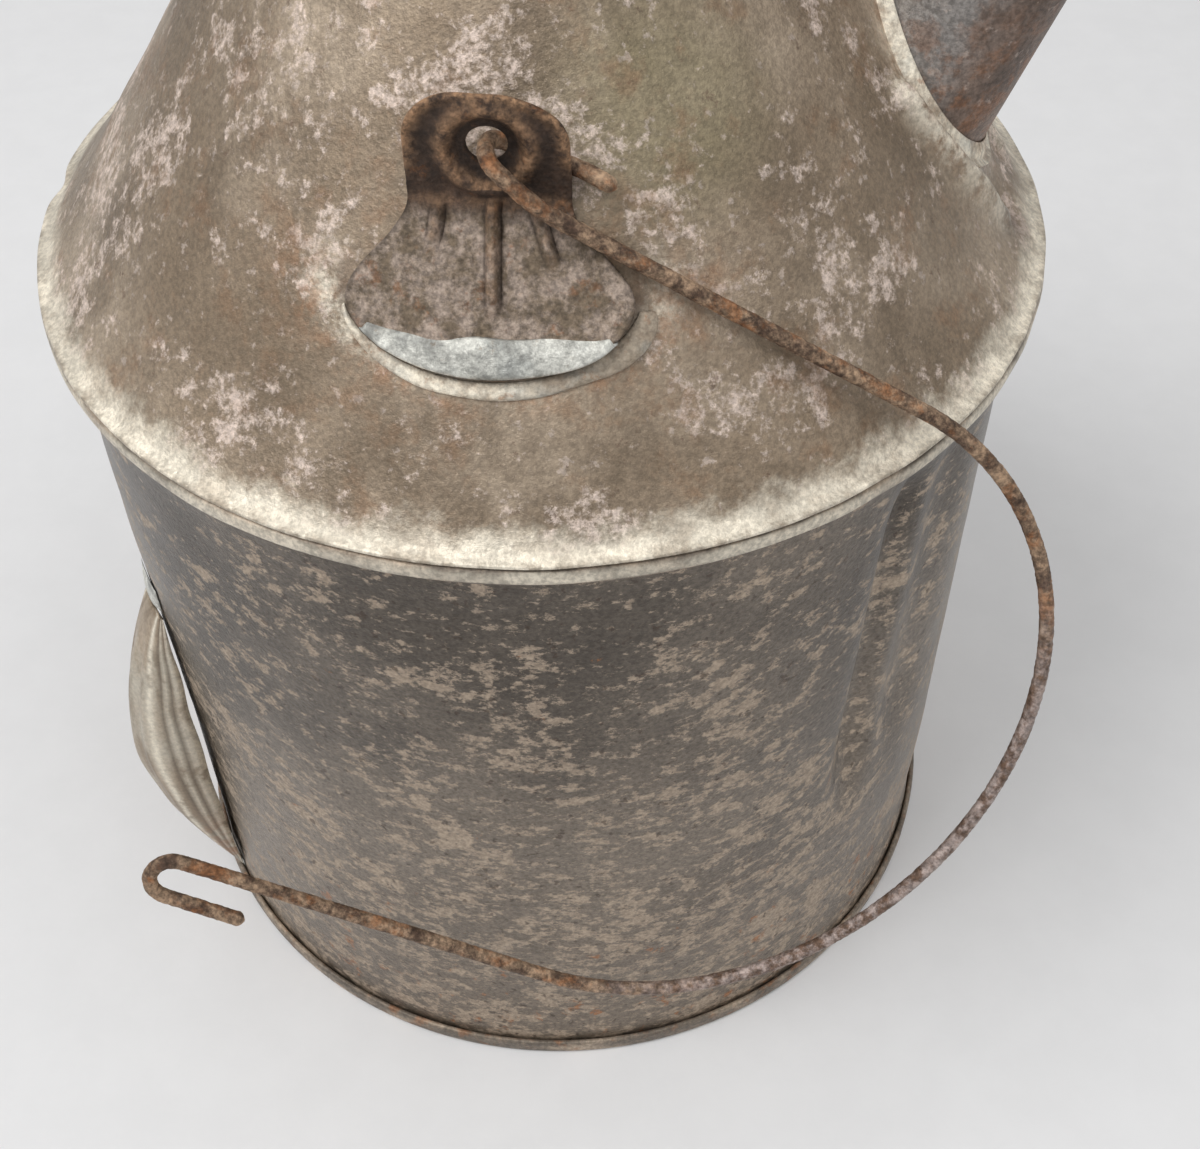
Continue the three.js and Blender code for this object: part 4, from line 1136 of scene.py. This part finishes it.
class OBJECT_OT_oil_can_ears(bpy.types.Operator):
    """Adds the two bail ears with their pleated feet"""

    bl_idname = "oil_can.ears"
    bl_label = "Bail ears"

    def execute(self, context):
        points, faces, marks = ear_surface()
        finish = finish_of(rusty_ear)
        for name, node, angle in (("ear_front", "front_ear", 0.0), ("ear_rear", "rear_ear", np.pi)):
            piece = add_piece(name, spin(points, angle), faces, finish, "can", "ear_iron", (node,), marks)
            wall = piece.modifiers.new("wall", "SOLIDIFY")
            wall.thickness = sizes().ear_sheet
            wall.offset = 0.0
            wall.use_even_offset = True
            smooth = piece.modifiers.new("smooth", "SUBSURF")
            smooth.levels = smooth.render_levels = 1
        return {"FINISHED"}


def foot_pad(x, z, lift_low, tall):
    """Loop of points over a pad and back under it: columns run across the band."""
    top = cone_point(x, z, lift_low + tall)
    bottom = cone_point(x, z, np.full(x.shape, lift_low))
    return np.concatenate([top, bottom[:, ::-1]], 1)


class OBJECT_OT_oil_can_ear_solder(bpy.types.Operator):
    """Adds the solder run along each ear's foot and the old crescent left below the front one"""

    bl_idname = "oil_can.ear_solder"
    bl_label = "Ear solder"

    def execute(self, context):
        u = np.linspace(-1, 1, 130)
        v = np.linspace(0, 1, 22)
        uu, vv = np.meshgrid(u, v, indexing="ij")
        finish = finish_of(grey_solder)
        for name, node, angle, seed in (
            ("ear_solder_front", "front_ear_solder", 0.0, 81), ("ear_solder_rear", "rear_ear_solder", np.pi, 83)
        ):
            x = uu * (FOOT_HALF - 2.6 * MM)
            wander = 0.7 * MM * ripple(np.stack([x, x * 0, x * 0], -1), 14 * MM, seed)
            swell = (5.4 * MM + wander) * (1 - 0.72 * np.abs(uu) ** 2.4) * (1 - ease(np.abs(uu), 0.93, 1.0) * 0.9)
            z = CREASE_Z - foot_edge(x) + 0.45 * MM + vv * swell
            edge = (1 - np.abs(2 * vv - 1) ** 3.2) * (1 - np.abs(uu) ** 10)
            lump = 1 + sizes().lumps / MM * ripple(np.stack([x, z, z * 0], -1), 6 * MM, seed + 1)
            tall = (0.35 + 0.85 * edge * np.clip(lump, 0.55, 1.35)) * MM
            right = 1.5 * MM * ease(x, 6 * MM, 22 * MM) * ease(CREASE_Z - z, 12 * MM, 22 * MM)
            grid = spin(foot_pad(x, z, 1.25 * MM + right, tall), angle)
            add_tube(name, grid, finish, "can", "solder", (node,))
        self.old_crescent(uu, vv)
        return {"FINISHED"}

    def old_crescent(self, uu, vv):
        """A thin crescent just below the front foot, narrow at the left and broad at the right, where it turns up."""
        t = -0.96 + 1.98 * (uu + 1) / 2
        reach = FOOT_HALF + 0.9 * MM
        bend = np.clip(t, -1, 0.985)
        x = reach * np.sin(bend * np.pi / 2 * 0.93)
        z = CREASE_Z - FOOT_DROP - (FOOT_BOW + 0.9 * MM) * np.cos(bend * np.pi / 2 * 0.93)
        wide = (
            1.5 + 1.5 * ease(uu, -1, -0.2) + 2.3 * ease(uu, 0.25, 0.8)
        ) * MM * np.sqrt(np.maximum(1e-4, 1 - np.abs(uu) ** 7))
        wide = wide * (1 + 0.16 * ripple(np.stack([x, z, x * 0], -1), 11 * MM, 91))
        out_x, out_z = np.sin(bend * 1.46), -np.cos(bend * 1.46)
        x = x + out_x * wide * vv
        z = z + out_z * wide * vv * SLANT
        lump = 1 + 0.5 * ripple(np.stack([x, z, x * 0], -1), 4 * MM, 92)
        tall = (0.08 + 0.55 * (1 - np.abs(2 * vv - 1) ** 2.5) * np.clip(lump, 0.25, 1.4) * (1 - np.abs(uu) ** 9)) * MM
        grid = foot_pad(x, z, 0.02 * MM, tall)
        # Painted shade on the right-hand part, under the lifted edge of the ear's foot.
        shade_in = ease(grid[..., 0], -2 * MM, 14 * MM)
        marks = {"hollow": np.concatenate([shade_in.ravel(), [0.0, 1.0]])}
        add_tube("old_solder_crescent", grid, finish_of(pale_scar), "can", "solder", ("old_solder_scar",), marks)


# Bail


def rounded_corner(before, middle, after, reach, steps=12):
    """Quadratic curve that cuts the corner at `middle`, starting and ending `reach` from it."""
    start = middle + (before - middle) / np.linalg.norm(before - middle) * reach
    end = middle + (after - middle) / np.linalg.norm(after - middle) * reach
    t = np.linspace(0, 1, steps)[:, None]
    return (1 - t) ** 2 * start + 2 * t * (1 - t) * middle + t * t * end


def bail_line():
    """Middle line of the bail: tail behind the ear, through the eye, down the first leg, half an ellipse of bow,
    back up the second leg and round its open hook. Two directions span its plane."""
    az, dip, roll = 1.3 * RAD, 30.9 * RAD, 67.7 * RAD
    ahead = np.array([np.cos(dip) * np.cos(az), np.cos(dip) * np.sin(az), -np.sin(dip)])
    level = np.array([np.sin(az), -np.cos(az), 0.0])
    across = level * np.cos(roll) + np.cross(ahead, level) * np.sin(roll)
    standoff, behind = 4.35, 2.6
    offset, splay, space, long, deep, hook, short = 3.0, 1.0, 144.5, 90.9, 64.6, 9.0, 11.0
    eye = EYE / MM
    lead, back = eye + (0, -standoff, 0), eye + (0, behind, 0)

    def at(a, b):
        return lead + np.multiply.outer(a, across) + np.multiply.outer(b, ahead)

    tail_dip = 21 * RAD
    knee = back + np.array([np.cos(tail_dip), 0, -np.sin(tail_dip)]) * (13.8 + 1.6) / np.cos(tail_dip)
    end_way = np.array([2, -1, -0.5])
    tail_end = knee + end_way / np.linalg.norm(end_way) * 6.6
    leg_start = at(offset, standoff * 2.6)
    bow_start = offset + splay
    t = np.linspace(np.pi, 0, 120)
    free = bow_start + space + splay
    turn = np.linspace(np.pi, 2 * np.pi, 24)
    line = np.vstack([
        tail_end,
        rounded_corner(tail_end, knee, back, 6.6 * 0.4),
        rounded_corner(knee, back, lead, behind * 0.9),
        rounded_corner(back, lead, leg_start, standoff * 0.8),
        rounded_corner(lead, leg_start, at(bow_start, long), standoff),
        at(bow_start - splay / 2, long / 2),
        at(bow_start + space / 2 + space / 2 * np.cos(t), long + deep * np.sin(t)),
        at(free - splay / 2, long / 2),
        at(free + hook / 2 + hook / 2 * np.cos(turn), short + hook / 2 * np.sin(turn)),
        at(free + hook, short + 17.0),
    ])
    return line * MM


def carried_frames(line):
    """Tangent and two cross directions at each point, the cross directions turned as little as possible from one
    point to the next."""
    tangent = np.gradient(line, axis=0)
    tangent /= np.linalg.norm(tangent, axis=1)[:, None]
    first = np.empty_like(line)
    side = np.cross(tangent[0], (0.0, 0.0, 1.0))
    for i, way in enumerate(tangent):
        side = side - way * side.dot(way)
        side = side / np.linalg.norm(side)
        first[i] = side
    return tangent, first, np.cross(tangent, first)


class OBJECT_OT_oil_can_bail(bpy.types.Operator):
    """Adds the rusty bail wire"""

    bl_idname = "oil_can.bail"
    bl_label = "Bail"

    def execute(self, context):
        raw = bail_line()
        keep = np.concatenate([[True], np.linalg.norm(np.diff(raw, axis=0), axis=1) > 1e-6])
        raw = raw[keep]
        along = np.concatenate([[0], np.cumsum(np.linalg.norm(np.diff(raw, axis=0), axis=1))])
        steps = int(along[-1] / (0.45 * MM))
        line = soften(even_steps(raw, steps), 6)
        _, first, second = carried_frames(line)
        t = np.linspace(0, 2 * np.pi, 22, endpoint=False)
        ring = first[:, None] * np.cos(t)[None, :, None] + second[:, None] * np.sin(t)[None, :, None]
        radius = sizes().wire - 0.05 * MM
        surface = line[:, None] + ring * radius
        pit = sizes().pits * (
            0.6 * np.abs(ripple(surface, 2.6 * MM, 101, 26)) + 0.5 * np.abs(ripple(surface, 1.1 * MM, 102, 26))
        )
        place = np.linspace(0, along[-1], steps)
        ends = np.sqrt(np.clip(np.minimum(place, along[-1] - place) / (1.1 * MM), 0.03, 1))
        grid = line[:, None] + ring * ((radius * ends)[:, None] - pit)[..., None]
        add_tube("bail", grid, finish_of(rusty_wire), "bail", "wire", ("bail_wire",))
        return {"FINISHED"}


# Tipping handle


class OBJECT_OT_oil_can_handle(bpy.types.Operator):
    """Adds the hollow boat-shaped tipping handle and its two solder pads"""

    bl_idname = "oil_can.handle"
    bl_label = "Tipping handle"

    def execute(self, context):
        low, high = corners("tipping_handle")[0][2], corners("tipping_handle")[1][2]
        t = np.linspace(0, 1, 170)
        u = np.linspace(-1, 1, 61)
        tt, uu = np.meshgrid(t, u, indexing="ij")
        skins = []
        groove = bump(np.abs(uu) - 0.84, 0.03) + bump(np.abs(uu) - 0.93, 0.02)
        for inset in (0.0, 0.9 * MM):
            rise = np.sin(np.pi * tt**1.08) ** 0.85
            half = (13 + 7 * np.sin(np.pi * tt)) / 2 * MM - inset
            edge = BODY_R + 0.35 * MM + 1.4 * MM * np.sin(np.pi * tt)
            crown = BODY_R + 1.42 * MM + 14.3 * MM * rise - inset
            round_over = (1 - np.abs(uu) ** 2.6) ** 0.62
            bead = (0.7 * bump(uu, 0.10) - 0.5 * bump(np.abs(uu) - 0.3, 0.12)) * MM * ease(rise, 0.2, 0.6)
            r = edge + (crown - edge) * round_over + bead
            side = half * np.sign(uu) * np.abs(uu) ** 0.8
            z = low + inset + (high - low - 2 * inset) * tt
            dent = 0.35 * MM * (1 + ripple(np.stack([r, side, z], -1), 0.025, 111)) * ease(rise, 0.3, 0.8)
            skins.append(np.stack([r - dent - 0.3 * MM * groove, side, z], -1))
        grid = np.concatenate([skins[0], skins[1][:, ::-1]], 1)
        finish = finish_of(handle_sheet)
        ends = [0.0, 0.0]
        # Pale marks are painted highlights along the edges and bead lines; the grooves carry painted shade.
        pale = bump(np.abs(uu) - 1.0, 0.035) + bump(np.abs(uu) - 0.885, 0.02) + bump(np.abs(uu) - 0.66, 0.07)
        marks = {
            "hollow": np.concatenate([np.concatenate([groove, groove], 1).ravel(), ends]),
            "pale": np.concatenate([np.concatenate([pale, pale * 0], 1).ravel(), ends]),
        }
        add_tube("tipping_handle_boat", spin(grid, HANDLE_AZ), finish, "can", "tin", ("tipping_handle",), marks)
        solder = finish_of(grey_solder)
        for name, node, seed in (
            ("handle_solder_top", "handle_top_solder", 121), ("handle_solder_low", "handle_bottom_solder", 122)
        ):
            z0, z1 = corners(node)[0][2], corners(node)[1][2]

            def on_body(x, z, lift):
                a = HANDLE_AZ + x / BODY_R
                return np.stack([(BODY_R + lift) * np.cos(a), (BODY_R + lift) * np.sin(a), z], -1)

            half = 5.6 * MM
            add_tube(name, strip(z0, z1, half, 1.3 * MM, on_body, seed, 40), solder, "can", "solder", (node,))
        return {"FINISHED"}


def handle_sheet(f):
    """Light tarnished sheet with long brown streaks down the sides, painted shade in the grooves and painted
    highlights along the edges and bead lines.
    """
    cloud = f.noise(0.016, 5, 0.6, (1, 1, 0.4))
    base = f.mix(f.between(cloud, 0.36, 0.62), shade("cone_mid", 0.95), shade("worn", 0.55))
    streak = f.noise(0.006, 4, 0.6, (1, 1, 0.12), 3)
    base = f.lay(base, shade("cone_dark", 0.9), f.between(streak, 0.44, 0.62), 0.75)
    # Painted highlights along the handle's edges and bead lines.
    base = f.lay(base, shade("worn", 0.85), f.mark("pale"), f.drifts(0.3, 0.5, 0.006, 4, 0.6, shift=9))
    # Painted shade in the grooves.
    base = f.lay(base, shade("cone_dark", 0.5), f.mark("hollow"), 0.7)
    rust = f.times(f.between(f.height(), 0.05, 0.008), f.drifts(0.42, 0.6, 0.006, 5, 0.7, shift=4))
    base = f.lay(base, shade("rust", 0.8), rust, 0.7)
    relief = f.noise(0.0026, 4, 0.6, (1, 1, 0.4), 2)
    return f.done(f.grime(base, 0.12), 0.40, 0.45, relief, 0.0002)


# Stage


class OBJECT_OT_oil_can_stage(bpy.types.Operator):
    """Adds the pale floor, the soft lights and the camera"""

    bl_idname = "oil_can.stage"
    bl_label = "Stage"

    def execute(self, context):
        self.floor()
        self.lights()
        self.camera()
        return {"FINISHED"}

    def floor(self):
        """Flat square a little below the base."""
        half = 5.0
        points = np.array(
            [[-half, -half, -0.0002], [half, -half, -0.0002], [half, half, -0.0002], [-half, half, -0.0002]]
        )
        mesh = bpy.data.meshes.new("floor")
        mesh.from_pydata(points.tolist(), [], [[0, 1, 2, 3]])
        mesh.materials.append(finish_of(plain_floor))
        floor = bpy.data.objects.new("floor", mesh)
        bpy.context.scene.collection.objects.link(floor)

    def lights(self):
        """A pale surround that is darker low on the near side, and two large soft lights above."""
        world = bpy.data.worlds.new("studio")
        bpy.context.scene.world = world
        world.use_nodes = True
        tree = world.node_tree
        tree.nodes.clear()
        out = tree.nodes.new("ShaderNodeOutputWorld")
        back = tree.nodes.new("ShaderNodeBackground")
        place = tree.nodes.new("ShaderNodeTexCoord")
        split = tree.nodes.new("ShaderNodeSeparateXYZ")
        rise = tree.nodes.new("ShaderNodeMapRange")
        rise.interpolation_type = "SMOOTHSTEP"
        rise.inputs["From Min"].default_value = -0.1
        rise.inputs["From Max"].default_value = 0.9
        tint = tree.nodes.new("ShaderNodeMix")
        tint.data_type = "RGBA"
        tint.inputs[6].default_value = (0.50, 0.50, 0.505, 1)
        tint.inputs[7].default_value = (0.80, 0.80, 0.80, 1)
        tree.links.new(place.outputs["Generated"], split.inputs[0])
        tree.links.new(split.outputs["Z"], rise.inputs["Value"])
        tree.links.new(rise.outputs["Result"], tint.inputs[0])
        tree.links.new(tint.outputs[2], back.inputs["Color"])
        back.inputs["Strength"].default_value = 0.76
        tree.links.new(back.outputs[0], out.inputs["Surface"])
        for name, place, size, power in (
            ("key", (-0.62, -0.45, 1.35), 0.8, 10.5), ("fill", (0.8, -0.3, 1.5), 1.4, 4.2)
        ):
            data = bpy.data.lights.new(name, "AREA")
            data.shape = "DISK"
            data.size = size
            data.energy = power
            lamp = bpy.data.objects.new(name, data)
            aim = Vector((0, 0, 0.15)) - Vector(place)
            lamp.matrix_world = Matrix.Translation(place) @ aim.to_track_quat("-Z", "Y").to_matrix().to_4x4()
            bpy.context.scene.collection.objects.link(lamp)

    def camera(self):
        """A long lens looking steeply down past the rim, turned a touch about its own axis."""
        data = bpy.data.cameras.new("camera")
        data.sensor_width = 36.0
        data.lens = 49.02
        data.clip_start = 0.01
        data.clip_end = 50.0
        down, roll, yaw = 48.709 * RAD, -0.913 * RAD, 5 * RAD
        right = np.array([1.0, 0.0, 0.0])
        up = np.array([0.0, np.sin(down), np.cos(down)])
        back = np.array([0.0, -np.cos(down), np.sin(down)])
        turned_right = np.cos(roll) * right + np.sin(roll) * up
        turned_up = -np.sin(roll) * right + np.cos(roll) * up
        spot = np.array([0.10416, -2.73879, 3.77734]) * 0.108
        axes = [spin(v, yaw) for v in (turned_right, turned_up, back, spot)]
        camera = bpy.data.objects.new("camera", data)
        columns = np.vstack([np.column_stack(axes), [0, 0, 0, 1]])
        camera.matrix_world = Matrix(columns.tolist())
        bpy.context.scene.collection.objects.link(camera)
        bpy.context.scene.camera = camera


class VIEW3D_PT_oil_can(bpy.types.Panel):
    """Lists the pieces of the can"""

    bl_label = "Oil can"
    bl_idname = "VIEW3D_PT_oil_can"
    bl_space_type = "VIEW_3D"
    bl_region_type = "UI"
    bl_category = "Oil can"

    def draw(self, context):
        for piece in PIECES:
            self.layout.operator(piece.bl_idname)
        for group in (context.scene.oil_can_sizes, context.scene.oil_can_colours):
            box = self.layout.box()
            for key in group.__annotations__:
                box.prop(group, key)


PIECES = (
    OBJECT_OT_oil_can_stage,
    OBJECT_OT_oil_can_body,
    OBJECT_OT_oil_can_rims,
    OBJECT_OT_oil_can_shoulder,
    OBJECT_OT_oil_can_seams,
    OBJECT_OT_oil_can_neck,
    OBJECT_OT_oil_can_cap,
    OBJECT_OT_oil_can_spout,
    OBJECT_OT_oil_can_ears,
    OBJECT_OT_oil_can_ear_solder,
    OBJECT_OT_oil_can_bail,
    OBJECT_OT_oil_can_handle,
)
CLASSES = (OilCanSizes, OilCanColours) + PIECES + (VIEW3D_PT_oil_can,)


def register():
    for kind in CLASSES:
        bpy.utils.register_class(kind)
    bpy.types.Scene.oil_can_sizes = PointerProperty(type=OilCanSizes)
    bpy.types.Scene.oil_can_colours = PointerProperty(type=OilCanColours)


def unregister():
    del bpy.types.Scene.oil_can_colours
    del bpy.types.Scene.oil_can_sizes
    for kind in reversed(CLASSES):
        bpy.utils.unregister_class(kind)


def main():
    register()
    bpy.context.scene.view_settings.view_transform = "Standard"
    for piece in PIECES:
        group, call = piece.bl_idname.split(".")
        getattr(getattr(bpy.ops, group), call)()


if __name__ == "__main__":
    main()
